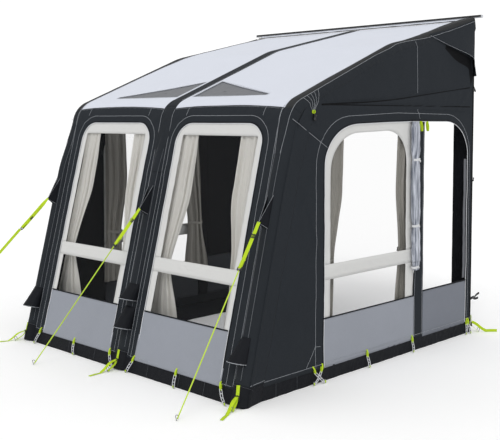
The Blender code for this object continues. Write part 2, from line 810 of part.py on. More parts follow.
def make_doors():
    """Door mudwalls, which drop outwards about their lower edge, and the closed left door."""
    length = DOOR_REAR - DOOR_FRONT
    wall = rectangle(0.0, 0.0, length, DOOR_MUDWALL_TOP - SIDE_BOTTOM)
    for name, side in BAY_SIDES.items():
        span = side_span(side, -FABRIC, 0.0)
        place = Matrix.Translation((side * WIDTH / 2, DOOR_FRONT, SIDE_BOTTOM))
        plate("door_mudwall_" + name, [wall], *span, place @ SIDEWAYS, "mudwall")
    low = DOOR_MUDWALL_TOP + GAP
    height = SIDE_OPENING_TOP - DOOR_SWING_CLEARANCE - low
    panel = rounded(
        [
            (0.0, 0.0, 0),
            (0.0, height, 0),
            (length, height, SIDE_CORNER_RADIUS),
            (length, 0.0, 0),
        ],
        8,
    )
    place = Matrix.Translation((-WIDTH / 2, DOOR_FRONT, low))
    plate("door_panel_left", [panel], 0.0, FABRIC, place @ SIDEWAYS, "charcoal")


ROLL_OUT = WIDTH / 2 + (1 + ROLL_RIPPLE) * ROLL_HALF_THICKNESS + GAP
ROLL_MIDDLE = STRIP_FRONT


def roll_ring(share, ring):
    """Oval section of the roll, pinched at its ties."""
    pinch = max(math.exp(-(((ring - tie) / 0.8) ** 2)) for tie in ROLL_TIES)
    swell = 1.0 - ROLL_PINCH * pinch
    sides = 14
    points = []
    for index in range(sides):
        angle = 2 * math.pi * index / sides
        bulge = swell * (1.0 + ROLL_RIPPLE * math.sin(5 * angle + 9 * share))
        across = ROLL_HALF_THICKNESS * bulge * math.cos(angle)
        along = ROLL_HALF_WIDTH * bulge * math.sin(angle)
        points.append((across, along, ROLL_LENGTH * share))
    return points


def make_door_roll():
    """Right door rolled up beside its doorway: an oval column with waists where it is tied."""
    work = bmesh.new()
    levels = []
    for ring in range(ROLL_RINGS + 1):
        level = [work.verts.new(point) for point in roll_ring(ring / ROLL_RINGS, ring)]
        levels.append(level)
    for below, above in zip(levels, levels[1:]):
        for index in range(len(below)):
            after = (index + 1) % len(below)
            work.faces.new((below[index], below[after], above[after], above[index]))
    work.faces.new(list(reversed(levels[0])))
    work.faces.new(levels[-1])
    mesh = bpy.data.meshes.new("roll")
    work.to_mesh(mesh)
    work.free()
    close_body(mesh)
    place = Matrix.Translation((ROLL_OUT, ROLL_MIDDLE, ROLL_BOTTOM))
    finish("door_roll_right", mesh, "roll", place, smooth=True)


def skirt_pieces():
    """Bodies that overlap to make the skirt: bands, flaps inside and cuffs round the beams."""
    front_band = rectangle(
        BEAM_RADIUS / 2, FABRIC * math.tan(LEAN), BEAM_X, SKIRT_HEIGHT / math.cos(LEAN)
    )
    start = wall_point(BEAM_RADIUS, 0.0)
    top = wall_point(BEAM_RADIUS, SKIRT_HEIGHT)
    side_band = [tuple(start), tuple(top), (DEPTH, SKIRT_HEIGHT), (DEPTH, 0.0)]
    flap_edge = WALL_INSIDE + FABRIC / 2
    flap_rear = DEPTH - PAD_THICKNESS - GAP
    for name, side in BAY_SIDES.items():
        band = plate_mesh([bay_outline(front_band, side)], -FABRIC, 0.0)
        yield cutter("front_band_" + name, band, FRONT)
        span = side_span(side, WALL_INSIDE, WIDTH / 2)
        yield cutter("side_band_" + name, plate_mesh([side_band], *span), SIDEWAYS)
        left, right = side_span(side, flap_edge - GROUND_FLAP_WIDTH, flap_edge)
        low = (left, GROUND_FLAP_FRONT, 0.0)
        high = (right, flap_rear, GROUND_FLAP_THICKNESS)
        yield cutter("ground_flap_" + name, box_mesh(low, high))


def cuff_route(across):
    low = wall_point(BEAM_DEPTH, 0.0) - WALL_RUN * BEAM_RADIUS
    high = wall_point(BEAM_DEPTH, SKIRT_HEIGHT) + WALL_RUN * BEAM_RADIUS
    return [(across, low.x, low.y), (across, high.x, high.y)]


def make_skirt():
    """Black band along the ground and round the beams' feet, in one piece with its flaps."""
    routes = {name: cuff_route(across) for name, across in BEAMS.items()}
    centre = tube_mesh(routes["centre"], BOOT_RADIUS, BEAM_SIDES_LEVEL)
    skirt = finish("ground_skirt", centre, "black", smooth=True)
    for name in BAY_SIDES:
        cuff = tube_mesh(routes[name], BOOT_RADIUS, BEAM_SIDES_LEVEL)
        unite(skirt, cutter("cuff_" + name, cuff))
    for body in skirt_pieces():
        unite(skirt, body)
    for name, route in routes.items():
        room = tube_mesh(route, BEAM_RADIUS + GAP, BEAM_SIDES_LEVEL)
        cut(skirt, cutter("beam_room_" + name, room))
    cut(skirt, ground_cutter)
    cut(skirt, above_skirt_cutter)


def make_roof():
    """Roof panels with triangular skylights, and the films under them."""
    near = ROOF_BAND_WIDTH / 2 + GAP
    section = roof_outline(FABRIC)
    triangle = [
        (SKYLIGHT_INNER, SKYLIGHT_LOW),
        (SKYLIGHT_INNER, SKYLIGHT_HIGH),
        (SKYLIGHT_TIP, SKYLIGHT_LOW),
    ]
    lap = [
        (SKYLIGHT_INNER - FILM_LAP, SKYLIGHT_LOW - FILM_LAP),
        (SKYLIGHT_INNER - FILM_LAP, SKYLIGHT_HIGH + FILM_LAP),
        (SKYLIGHT_INNER + FILM_LAP, SKYLIGHT_HIGH + FILM_LAP),
        (SKYLIGHT_TIP + 3 * FILM_LAP, SKYLIGHT_LOW + FILM_LAP / 4),
        (SKYLIGHT_TIP + 3 * FILM_LAP, SKYLIGHT_LOW - FILM_LAP),
    ]
    for name, side in BAY_SIDES.items():
        span = side_span(side, near, WIDTH / 2 - ROOF_EDGE_INSET)
        panel = plate("roof_panel_" + name, [section], *span, SIDEWAYS, "roof")
        hole = plate_mesh([bay_outline(triangle, side)], -BEAM_RADIUS, BEAM_RADIUS)
        cut(panel, cutter("skylight_cutter_" + name, hole, SLOPE))
        depth = FABRIC + GAP
        lap_loop = bay_outline(lap, side)
        plate("skylight_" + name, [lap_loop], -depth - FILM, -depth, SLOPE, "skylight")


def make_rear_pad(name, side):
    """Padded strip that presses against the vehicle, inside a side wall."""
    under_sleeve = top_point(ROOF_BEAM_DEPTH + BEAM_RADIUS + GAP, DEPTH - PAD_THICKNESS).y
    outer = WALL_INSIDE - GAP
    left, right = side_span(side, outer - PAD_WIDTH, outer)
    pad = box_mesh((left, DEPTH - PAD_THICKNESS, 0.0), (right, DEPTH, under_sleeve))
    finish("rear_pad_" + name, pad, "black")


BEAD_X = BEAM_X + BEAM_PROUD
RAIL_X = BEAD_X + RAIL_OVERHANG
CHANNEL = Vector((DEPTH + RAIL_RISE, REAR_HEIGHT + RAIL_RISE))


def arc_points(centre, radius, first, last, steps):
    """Points on an arc, from one angle to another, in degrees."""
    points = []
    for step in range(steps + 1):
        angle = math.radians(first + (last - first) * step / steps)
        points.append((centre.x + radius * math.cos(angle), centre.y + radius * math.sin(angle)))
    return points


def make_rail():
    """Rail with a round channel that is open along its underside, and its two end caps."""
    back = CHANNEL.x + RAIL_BACK_WALL
    front = CHANNEL.x - RAIL_FRONT_WALL
    top = CHANNEL.y + RAIL_TOP_WALL
    foot = CHANNEL.y - RAIL_FOOT_WALL
    mouth = math.degrees(math.asin(RAIL_SLOT / 2 / RAIL_CHANNEL_RADIUS))
    section = [
        (CHANNEL.x - RAIL_SLOT / 2, foot),
        (front, foot),
        (front, top),
        (back, top),
        (back, foot),
        (CHANNEL.x + RAIL_SLOT / 2, foot),
    ]
    section += arc_points(CHANNEL, RAIL_CHANNEL_RADIUS, -90 + mouth, 270 - mouth, 14)
    plate("awning_rail", [section], -RAIL_X, RAIL_X, SIDEWAYS, "aluminium")
    corners = [(front, foot), (front, top), (back, top), (back, foot)]
    end = rounded([(across, up, RAIL_CAP / 2) for across, up in corners], 3)
    for name, side in BAY_SIDES.items():
        span = side_span(side, RAIL_X + GAP, RAIL_X + GAP + RAIL_CAP)
        plate("rail_end_cap_" + name, [end], *span, SIDEWAYS, "aluminium")


def make_kador_strip():
    """Beading in the rail's channel on a strip sewn to the roof's rear edge."""
    half = BEAD_STRIP / 2
    mouth = math.degrees(math.asin(half / BEAD_RADIUS))
    knee = CHANNEL.y - RAIL_FOOT_WALL - 2 * BEAD_STRIP
    seam = top_point(FABRIC / 2, DEPTH + GAP)
    bead = arc_points(CHANNEL, BEAD_RADIUS, -90 + mouth, 270 - mouth, 12)
    front_side = [(CHANNEL.x - half, knee), (seam.x, seam.y + half)]
    rear_side = [(seam.x, seam.y - half), (CHANNEL.x + half, knee - half)]
    plate("kador_strip", [bead + front_side + rear_side], -BEAD_X, BEAD_X, SIDEWAYS, "white")


def smooth_step(share):
    share = max(0.0, min(1.0, share))
    return share * share * (3 - 2 * share)


def curtain_width(height, head):
    """Width of a drawn-aside curtain: wide at its head, tied at its waist, open at its hem."""
    if height > CURTAIN_WAIST_HEIGHT:
        share = (height - CURTAIN_WAIST_HEIGHT) / (head - CURTAIN_WAIST_HEIGHT)
        return CURTAIN_WAIST + (CURTAIN_HEAD - CURTAIN_WAIST) * smooth_step(share * CURTAIN_FLARE)
    share = (CURTAIN_WAIST_HEIGHT - height) / (CURTAIN_WAIST_HEIGHT - CURTAIN_HEM_HEIGHT)
    return CURTAIN_WAIST + (CURTAIN_HEM - CURTAIN_WAIST) * smooth_step(share)


def curtain(piece, frame, fixed_edge, towards, head, stand_off, lean=0.0):
    """Pleated curtain in a frame: above its waist its fixed edge is straight and its other edge
    lies towards the window's middle. Below its waist it opens to both sides and hangs plumb,
    away from a wall that leans. Depth goes inwards, against the frame's third axis."""
    columns = 17
    rows = 10
    work = bmesh.new()
    bmesh.ops.create_grid(work, x_segments=columns, y_segments=rows, size=0.5)
    for vertex in work.verts:
        across = vertex.co.x + 0.5
        up = vertex.co.y + 0.5
        height = CURTAIN_HEM_HEIGHT + (head - CURTAIN_HEM_HEIGHT) * up
        width = curtain_width(height, head)
        below = max(CURTAIN_WAIST_HEIGHT - height, 0.0)
        start = (CURTAIN_WAIST - width) / 2 if below else 0.0
        drawn = min((head - height) / (head - CURTAIN_WAIST_HEIGHT), 1.0)
        hang = smooth_step((head - height) / 0.25)
        deep = (TRACK_DEPTH - CURTAIN_THICKNESS - 3 * GAP) * (1 - hang) + CURTAIN_FOLD_DEPTH * hang
        wave = 0.5 - 0.5 * math.cos(2 * math.pi * CURTAIN_FOLDS * across)
        vertex.co = (
            fixed_edge + towards * (start + width * across),
            height,
            -stand_off - CURTAIN_THICKNESS / 2 - deep * wave - CURTAIN_LAG * drawn - below * math.tan(lean),
        )
    mesh = bpy.data.meshes.new("cloth")
    work.to_mesh(mesh)
    work.free()
    made = finish(piece, mesh, "curtain", frame, smooth=True)
    shell = made.modifiers.new("cloth", "SOLIDIFY")
    shell.thickness = CURTAIN_THICKNESS
    shell.offset = 0.0
    return made


def make_curtains():
    stand_off = FABRIC + FILM + 3 * GAP
    head = FRONT_CLEAR_TOP + TRACK_ABOVE_CLEAR - GAP
    for name, side in BAY_SIDES.items():
        inner_edge = side * FRONT_TRACK_START
        outer_edge = side * (FRONT_CLEAR_OUTER + FILM_LAP)
        curtain("front_curtain_" + name + "_inner", FRONT, inner_edge, side, head, stand_off, LEAN)
        curtain("front_curtain_" + name + "_outer", FRONT, outer_edge, -side, head, stand_off, LEAN)
    head = SIDE_CLEAR_TOP + TRACK_ABOVE_CLEAR - GAP
    for name, side in BAY_SIDES.items():
        turned = Matrix(((0, 0, side, 0), (side, 0, 0, 0), (0, 1, 0, 0), (0, 0, 0, 1)))
        frame = Matrix.Translation((side * WIDTH / 2, 0.0, 0.0)) @ turned
        front_edge = side * (SIDE_OPENING_FRONT + 2 * FABRIC)
        rear_edge = side * (STRIP_FRONT - FABRIC)
        curtain("side_curtain_" + name + "_front", frame, front_edge, side, head, stand_off)
        curtain("side_curtain_" + name + "_rear", frame, rear_edge, -side, head, stand_off)


def aimed(origin, target, across):
    """Frame at origin whose second axis points to target, its first as near to across as it can."""
    ahead = (target - origin).normalized()
    face = across.cross(ahead).normalized()
    level = ahead.cross(face)
    frame = Matrix((level, ahead, face)).transposed().to_4x4()
    frame.translation = origin
    return frame


def ribbon_mesh(points, thickness, width):
    """Strip of webbing along a flat polyline, centred on it, with its width on the third axis."""
    near = []
    far = []
    for index, point in enumerate(points):
        before = Vector(points[max(index - 1, 0)])
        after = Vector(points[min(index + 1, len(points) - 1)])
        run = (after - before).normalized()
        side = Vector((-run.y, run.x)) * (thickness / 2)
        near.append(tuple(Vector(point) + side))
        far.append(tuple(Vector(point) - side))
    return plate_mesh([near + far[::-1]], -width / 2, width / 2)


def standing(base, outward):
    """Frame at base whose first axis is level and whose second is upright."""
    up = Vector((0, 0, 1))
    frame = Matrix((outward, up, outward.cross(up))).transposed().to_4x4()
    frame.translation = base
    return frame


def foot_strap(name, base, outward, slope):
    """Strap sewn on at the foot, through a buckle to its peg, with its tail on the ground.

    The face it is sewn to leans back by slope for each unit of height."""

    def sewn(height, lift=0.0):
        return (WEBBING / 2 + GAP + lift - height * slope, height)

    frame = standing(base, outward)
    lift = (STRAP_BUCKLE_THICKNESS - WEBBING) / 2
    ends = [sewn(STRAP_BUCKLE_TOP, lift), sewn(STRAP_BUCKLE_FOOT, lift)]
    buckle = ribbon_mesh(ends, STRAP_BUCKLE_THICKNESS, STRAP_BUCKLE_WIDTH)
    strap = finish("foot_strap_" + name, buckle, "lime", frame)
    middle = sewn((STRAP_BUCKLE_TOP + STRAP_BUCKLE_FOOT) / 2, WEBBING / 4)
    routes = ([sewn(STRAP_TOP), middle], [middle, STRAP_END], [middle, *STRAP_TAIL])
    for index, route in enumerate(routes):
        strip = ribbon_mesh(route, WEBBING, STRAP_WIDTH)
        unite(strap, cutter(f"strap_{name}_{index}", strip, frame))


def make_foot_straps():
    for name, turn in FRONT_STRAP_TURNS.items():
        angle = math.radians(turn)
        outward = Vector((math.sin(angle), -math.cos(angle), 0))
        foot = wall_point(BEAM_DEPTH, 0.0).x
        base = Vector((BEAMS[name], foot, 0)) + outward * (BOOT_RADIUS / math.cos(LEAN) + GAP)
        foot_strap("front_" + name, base, outward, math.tan(LEAN) * math.cos(angle))
    angle = math.radians(REAR_STRAP_TURN)
    for name, side in BAY_SIDES.items():
        outward = Vector((side * math.sin(angle), math.cos(angle), 0))
        level = Vector((side * math.cos(angle), -math.sin(angle), 0))
        corner = Vector((side * WIDTH / 2, DEPTH, 0))
        base = corner + outward * GAP + level * REAR_STRAP_SHIFT
        foot_strap("rear_" + name, base, outward, 0.0)


def smooth_route(points, steps):
    """Points on a smooth curve through the given ones."""
    knots = [Vector(point) for point in points]
    knots = [2 * knots[0] - knots[1]] + knots + [2 * knots[-1] - knots[-2]]
    route = []
    for a, b, c, d in zip(knots, knots[1:], knots[2:], knots[3:]):
        for step in range(steps):
            t = step / steps
            bend = (2 * a - 5 * b + 4 * c - d) * t**2 + (3 * b - a - 3 * c + d) * t**3
            route.append((2 * b + (c - a) * t + bend) / 2)
    route.append(knots[-2])
    return route


def make_guys():
    """Webbing with its buckle, and the line from there to the ground, at each guy point."""
    for name, points in GUY_ROUTES.items():
        across = BEAMS[name]
        tip = wall_point(-BEAM_PROUD - GUY_REACH, GUY_HEIGHT)
        start = Vector((across, tip.x, tip.y))
        line_start = Vector(points[0])
        frame = aimed(start, line_start, Vector((1, 0, 0)))
        reach = (line_start - start).length - GAP
        half = GUY_WEB_WIDTH / 2
        sewn = FABRIC / 2 * abs(frame[0][1]) + GAP
        strip = rectangle(-half, sewn, half, reach - GUY_BUCKLE_LENGTH / 2)
        span = (-WEBBING / 2, WEBBING / 2)
        webbing = plate("guy_webbing_" + name, [strip], *span, frame, "lime")
        half = GUY_BUCKLE_WIDTH / 2
        block = rectangle(-half, reach - GUY_BUCKLE_LENGTH, half, reach)
        thick = GUY_BUCKLE_THICKNESS / 2
        unite(webbing, cutter("guy_buckle_" + name, plate_mesh([block], -thick, thick), frame))
        line = tube_mesh(smooth_route(points, 4), GUY_LINE_RADIUS, sides_level=2)
        finish("guy_line_" + name, line, "lime", smooth=True)


def centre_footprint(loose):
    """Move the awning so that the middle of its footprint, without loose pieces, is the origin."""
    bpy.context.view_layer.update()
    graph = bpy.context.evaluated_depsgraph_get()
    reach = []
    for made in parts.objects:
        if made.type == "MESH" and not made.name.startswith(loose):
            ready = made.evaluated_get(graph)
            reach += [(ready.matrix_world @ Vector(corner)).y for corner in ready.bound_box]
    root.location.y = -(min(reach) + max(reach)) / 2
    bpy.context.view_layer.update()


make_beams()
for bay, bay_side in BAY_SIDES.items():
    make_front_bay(bay, bay_side)
    make_front_film(bay, bay_side)
    make_side_frame(bay, bay_side)
    make_side_film(bay, bay_side)
    make_mudwalls(bay, bay_side)
    make_rear_pad(bay, bay_side)
make_side_walls()
make_doors()
make_door_roll()
make_skirt()
make_roof()
make_rail()
make_kador_strip()
make_curtains()
make_foot_straps()
make_guys()
centre_footprint(("guy_line", "guy_webbing"))
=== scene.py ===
import math
from functools import partial

import bmesh
import bpy
import numpy as np
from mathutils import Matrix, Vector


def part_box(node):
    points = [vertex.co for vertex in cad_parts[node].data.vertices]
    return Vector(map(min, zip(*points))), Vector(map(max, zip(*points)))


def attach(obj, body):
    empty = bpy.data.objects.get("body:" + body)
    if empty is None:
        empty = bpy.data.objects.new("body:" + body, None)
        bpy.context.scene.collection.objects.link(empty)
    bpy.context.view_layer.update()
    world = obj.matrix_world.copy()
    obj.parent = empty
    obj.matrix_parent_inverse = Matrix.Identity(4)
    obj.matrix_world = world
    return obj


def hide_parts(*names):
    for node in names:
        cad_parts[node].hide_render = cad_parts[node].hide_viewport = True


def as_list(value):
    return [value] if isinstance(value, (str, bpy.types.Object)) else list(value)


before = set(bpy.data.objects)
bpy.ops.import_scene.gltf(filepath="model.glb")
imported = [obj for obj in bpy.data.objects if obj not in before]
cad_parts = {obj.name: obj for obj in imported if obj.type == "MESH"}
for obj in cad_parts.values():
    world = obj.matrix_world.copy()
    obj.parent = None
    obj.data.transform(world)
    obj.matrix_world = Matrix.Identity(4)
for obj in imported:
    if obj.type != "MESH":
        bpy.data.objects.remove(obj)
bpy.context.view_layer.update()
print("frame loaded:", len(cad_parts), "nodes")

# The awning's own measures in metres; y is counted back from the line where the front meets the ground
awning = {
    "halfWidth": 1.200,
    "depth": 2.662,
    "eave": (0.467, 1.839),
    "bend": (1.570, 2.282),
    "rearHeight": 2.529,
    "eaveRadius": 0.200,
    "bendRadius": 0.600,
    "beamRadius": 0.060,
    "beamX": 1.160,
    "roofBeamX": 1.140,
    "beamDepth": 0.030,
    "roofBeamDepth": 0.0644,
    "sinkStart": 1.350,
    "bottom": 0.0854,
}
sides = {"left": -1, "right": 1}
depth, bottom = awning["depth"], awning["bottom"]
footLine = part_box("rear_pad_right")[1][1] - depth
frontWay, roofWay = (0, -0.97, 0.25), (0, -0.3, 0.95)
scene = bpy.context.scene


def addObject(name, data):
    made = bpy.data.objects.new(name, data)
    scene.collection.objects.link(made)
    return made


# Camera, from the photograph's vanishing lines
view = {
    "place": (4.828, -3.666, 1.740),
    "yaw": 44.15,
    "pitch": -3.62,
    "lens": 62.93,
    "shiftY": -0.0918,
}
camera = addObject("camera", bpy.data.cameras.new("camera"))
camera.location = (view["place"][0], view["place"][1] + footLine, view["place"][2])
camera.rotation_euler = (math.radians(90 + view["pitch"]), 0, math.radians(view["yaw"]))
camera.data.sensor_width = 36
camera.data.lens = view["lens"]
camera.data.shift_y = view["shiftY"]
camera.data.clip_end = 200
scene.camera = camera


# Lines and curves
def unit(vector):
    vector = np.asarray(vector, float)
    return vector / np.linalg.norm(vector, axis=-1, keepdims=True)


def along(start, end, share):
    return np.asarray(start, float) + (np.asarray(end, float) - np.asarray(start, float)) * share


def turns(count):
    # angles evenly round a circle
    return np.linspace(0, 2 * math.pi, count + 1)[:-1]


def signedPower(value, power):
    return np.sign(value) * np.abs(value) ** power


def runLength(line):
    return np.concatenate([[0], np.cumsum(np.linalg.norm(np.diff(line, axis=0), axis=1))])


def evenly(line, step=0.02, count=None):
    # the same line with points at even distances
    line = np.asarray(line, float)
    length = runLength(line)
    at = np.linspace(0, length[-1], count or max(int(length[-1] / step) + 1, 2))
    return np.stack([np.interp(at, length, column) for column in line.T], 1)


def stretches(*lines):
    # one line from several stretches, each (points, count), so that two lines can be matched
    return np.concatenate([evenly(line, count=count)[min(index, 1):] for index, (line, count) in enumerate(lines)])


def smoothLine(knots, steps=6):
    # smooth curve through the knots: each span is a cubic of its two ends and their neighbours
    k = np.asarray(knots, float)
    k = np.concatenate([[2 * k[0] - k[1]], k, [2 * k[-1] - k[-2]]])
    t = (np.arange(steps) / steps)[None, :, None]
    a, b, c, d = (k[i:len(k) - 3 + i][:, None, :] for i in range(4))
    line = (2 * b + (c - a) * t + (2 * a - 5 * b + 4 * c - d) * t**2 + (3 * b - a - 3 * c + d) * t**3) / 2
    return np.concatenate([line.reshape(-1, k.shape[1]), k[-2:-1]])


def filletArc(before, here, after, radius, steps=8):
    # arc that rounds the corner at here
    runs = unit(before - here), unit(after - here)
    half = math.acos(float(runs[0] @ runs[1])) / 2
    centre = here + unit(runs[0] + runs[1]) * radius / math.sin(half)
    start, end = (here + run * radius / math.tan(half) - centre for run in runs)
    first = math.atan2(*start[::-1])
    swing = (math.atan2(*end[::-1]) - first + math.pi) % (2 * math.pi) - math.pi
    turn = first + swing * np.linspace(0, 1, steps + 1)
    return centre + radius * np.stack([np.cos(turn), np.sin(turn)], 1)


def archLine(left, right, low, top, radii, counts, corner=0.0):
    # up one side, round or squarely over the top, and down the other. The radii (across, up) of the two
    # top corners make quarter ellipses, and corner is the length that a square corner takes
    up, turn, over = counts
    if radii is not None:
        (a, b), (c, d) = np.array(radii) + np.zeros((2, 2))
        arc = np.linspace(0, math.pi / 2, turn)
        first = np.stack([left + a - a * np.cos(arc), top - b + b * np.sin(arc)], 1)
        second = np.stack([right - c + c * np.sin(arc), top - d + d * np.cos(arc)], 1)
    else:
        first = evenly([(left, top - corner), (left, top), (left + corner, top)], count=turn)
        second = evenly([(right - corner, top), (right, top), (right, top - corner)], count=turn)
    rise, lintel = evenly([(left, low), first[0]], count=up), evenly([first[-1], second[0]], count=over)
    fall = evenly([second[-1], (right, low)], count=up)
    return np.concatenate([rise, first[1:], lintel[1:], second[1:], fall[1:]])


def between(lineA, lineB, rows):
    # rows of points from one line to another: (rows, points, 2)
    share = np.linspace(0, 1, rows)[:, None, None]
    return lineA[None] * (1 - share) + lineB[None] * share


def gridOf(x0, x1, y0, y1, columns, rows):
    return np.stack(np.meshgrid(np.linspace(x0, x1, columns), np.linspace(y0, y1, rows)), -1)


def smoothStep(share):
    share = np.clip(share, 0, 1)
    return share * share * (3 - 2 * share)


def hump(share):
    # 0 at both ends of the share from 0 to 1, and 1 in its middle
    return np.sin(np.clip(share, 0, 1) * math.pi)


def ripples(a, b, seed, size=0.35, waves=7):
    # sum of sine waves in fixed random directions, with wavelengths about the given size, from -1 to 1
    rand = np.random.default_rng(seed)
    total = np.zeros(np.broadcast(a, b).shape)
    for wave in range(waves):
        angle, phase = rand.uniform(0, math.pi), rand.uniform(0, 2 * math.pi)
        number = 2 * math.pi / (size * rand.uniform(0.6, 1.7))
        total = total + np.sin(number * (a * math.cos(angle) + b * math.sin(angle)) + phase)
    return total / waves


def gridRipples(grid, seed, size, acrossRate=1.0, upRate=1.0):
    return ripples(grid[..., 0] * acrossRate, grid[..., 1] * upRate, seed, size)


def crease(a, b, start, end, width):
    # how near a point is to the segment from start to end: 1 on it, falling like a bell, 0 beyond its ends
    start, run = np.array(start, float), np.array(end, float) - start
    share = ((a - start[0]) * run[0] + (b - start[1]) * run[1]) / (run @ run)
    off = np.abs((a - start[0]) * run[1] - (b - start[1]) * run[0]) / np.linalg.norm(run)
    return np.exp(-((off / width) ** 2)) * hump(share) ** 0.6


# Mesh helpers: a sheet is a grid of points (rows, columns, 3) with its flat pattern (rows, columns, 2)
def flatPattern(points):
    # distances along each row and column of a grid, as its flat pattern
    runs = [np.cumsum(np.linalg.norm(np.diff(points, axis=axis, prepend=points.take([0], axis)), axis=2), axis)
            for axis in (1, 0)]
    return np.stack(runs, -1)


def sheetPart(points, facing=None, pattern=None, wrapRows=False, wrapColumns=False, caps=False):
    # facing is a direction, or a point for each row that the faces look away from
    points = np.asarray(points, float)
    rows, columns = points.shape[:2]
    r = np.arange(rows if wrapRows else rows - 1)[:, None]
    c = np.arange(columns if wrapColumns else columns - 1)[None, :]
    r2, c2 = (r + 1) % rows, (c + 1) % columns
    faces = np.stack([r * columns + c, r * columns + c2, r2 * columns + c2, r2 * columns + c], -1).reshape(-1, 4)
    flat = points.reshape(-1, 3)
    if facing is not None:
        a, b, c, d = (flat[faces[:, k]] for k in range(4))
        look = np.asarray(facing, float)
        if look.ndim > 1:
            axis = np.broadcast_to(look[:, None, :], points.shape).reshape(-1, 3)
            look = (a + c) / 2 - axis[faces[:, 0]]
        if (np.cross(c - a, d - b) * look).sum() < 0:
            faces = faces[:, ::-1]
    ends = []
    if caps:
        first, last = np.arange(columns), (rows - 1) * columns + np.arange(columns)
        away = flat[first].mean(0) - flat[last].mean(0)
        for ring, way in ((first, away), (last, -away)):
            spokes = flat[ring] - flat[ring].mean(0)
            turn = np.cross(spokes, np.roll(spokes, -1, 0)).sum(0)
            ends.append((ring if turn @ way > 0 else ring[::-1]).tolist())
    pattern = flatPattern(points) if pattern is None else np.asarray(pattern, float)
    return flat, faces.tolist() + ends, pattern.reshape(-1, 2)


def joinParts(parts):
    faces, start = [], 0
    for flat, own, pattern in parts:
        faces += [[index + start for index in face] for face in own]
        start += len(flat)
    return np.concatenate([part[0] for part in parts]), faces, np.concatenate([part[2] for part in parts])


def piece(name, parts, finish, body="canopy", thick=0.0, offset=-1.0, inner=None, weld=False, stands=None):
    # inner is the finish of the back of a sheet; weld joins parts whose edges have the same points
    vertices, faces, pattern = joinParts(parts)
    mesh = bpy.data.meshes.new(name)
    mesh.from_pydata(vertices.tolist(), [], faces)
    layer = mesh.uv_layers.new(name="pattern")
    corner = np.empty(len(mesh.loops), dtype=np.int32)
    mesh.loops.foreach_get("vertex_index", corner)
    layer.data.foreach_set("uv", pattern[corner].astype(np.float32).ravel())
    mesh.polygons.foreach_set("use_smooth", [True] * len(mesh.polygons))
    mesh.materials.append(finish)
    if weld:
        work = bmesh.new()
        work.from_mesh(mesh)
        bmesh.ops.remove_doubles(work, verts=work.verts, dist=0.00002)
        work.to_mesh(mesh)
        work.free()
    made = addObject(name, mesh)
    if thick:
        wall = made.modifiers.new("thickness", "SOLIDIFY")
        wall.thickness = thick
        wall.offset = offset
        if inner:
            mesh.materials.append(inner)
            wall.material_offset = 1
    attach(made, body)
    if stands:
        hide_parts(stands)
    return made


def clothPiece(name, parts, finish, restsOn, held="stretched", **how):
    # the cut's size is the box of its flat pattern, its area the sum of the pattern's own faces
    made = piece(name, parts, finish, **how)
    faces, pattern = joinParts(parts)[1:]
    p = pattern[np.array([face for face in faces if len(face) == 4])]
    d1, d2 = p[:, 2] - p[:, 0], p[:, 3] - p[:, 1]
    area = float(np.abs(d1[:, 0] * d2[:, 1] - d1[:, 1] * d2[:, 0]).sum() / 2)
    width, length = np.ptp(pattern, axis=0).tolist()
    if area > width * length:
        # cuts of the same shape are laid side by side
        boxes = np.array([np.ptp(part[2], axis=0) for part in parts])
        width, length = float(boxes[:, 0].sum()), float(boxes[:, 1].max())
    area = min(max(area, 0.301 * width * length), width * length)
    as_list(restsOn)


def sweep(points, section, across, scale=1.0, closed=False):
    # a section (a, b) carried along a path: a on the across direction, b on tangent x across
    points, section = np.asarray(points, float), np.asarray(section, float)
    step = np.roll(points, -1, 0) - np.roll(points, 1, 0) if closed else np.gradient(points, axis=0)
    tangent = unit(step)
    across = np.broadcast_to(np.asarray(across, float), points.shape)
    across = unit(across - (across * tangent).sum(1, keepdims=True) * tangent)
    up = np.cross(tangent, across)
    size = np.broadcast_to(scale, len(points))[:, None, None] * section[None]
    grid = points[:, None, :] + size[..., :1] * across[:, None, :] + size[..., 1:] * up[:, None, :]
    pattern = np.stack(np.broadcast_arrays(runLength(section)[None, :], runLength(points)[:, None]), -1)
    return sheetPart(grid, points, pattern, wrapRows=closed, wrapColumns=True, caps=not closed)


def circle(radius, sides=10):
    turn = np.arange(sides) * 2 * math.pi / sides
    return np.stack([radius * np.cos(turn), radius * np.sin(turn)], 1)


def strap(width, thick):
    # a flat strip with rounded edges
    w, t = width / 2, thick / 2
    half = np.array([(-w + t, -t), (w - t, -t), (w, -t / 2), (w, t / 2)])
    return np.concatenate([half, -half])


def seam(parts, points, width=0.0026, normal=frontWay):
    # a sewn line: a narrow raised strip
    points = np.asarray(points, float)
    parts.append(sweep(points, strap(width, 0.0012), np.cross(np.gradient(points, axis=0), normal)))


# Profile of front wall and roof: the run's angle falls over each rounded corner, y and z are its sums
def profileTable(step=0.0005):
    corners = np.array([(0, 0), awning["eave"], awning["bend"], (depth, awning["rearHeight"])])
    runs = np.diff(corners, axis=0)
    angles = np.arctan2(runs[:, 1], runs[:, 0])
    lengths = np.linalg.norm(runs, axis=1)
    turned = angles[:-1] - angles[1:]
    radii = np.array((awning["eaveRadius"], awning["bendRadius"]))
    cuts, arcs = radii * np.tan(turned / 2), radii * turned
    starts = np.cumsum([lengths[0] - cuts[0], arcs[0], lengths[1] - cuts[0] - cuts[1], arcs[1], lengths[2] - cuts[1]])
    s = np.arange(-0.4, starts[-1] + 0.1, step)
    angle = np.interp(s, starts[:4], angles[[0, 1, 1, 2]])
    y = np.cumsum(np.cos(angle)) * step
    z = np.cumsum(np.sin(angle)) * step
    zero = np.searchsorted(s, 0)
    return starts[[0, 1, 4]].tolist(), (s, y - y[zero], z - z[zero], angle)


(eaveStart, eaveEnd, roofEnd), table = profileTable()
wallLean = math.atan2(*awning["eave"])


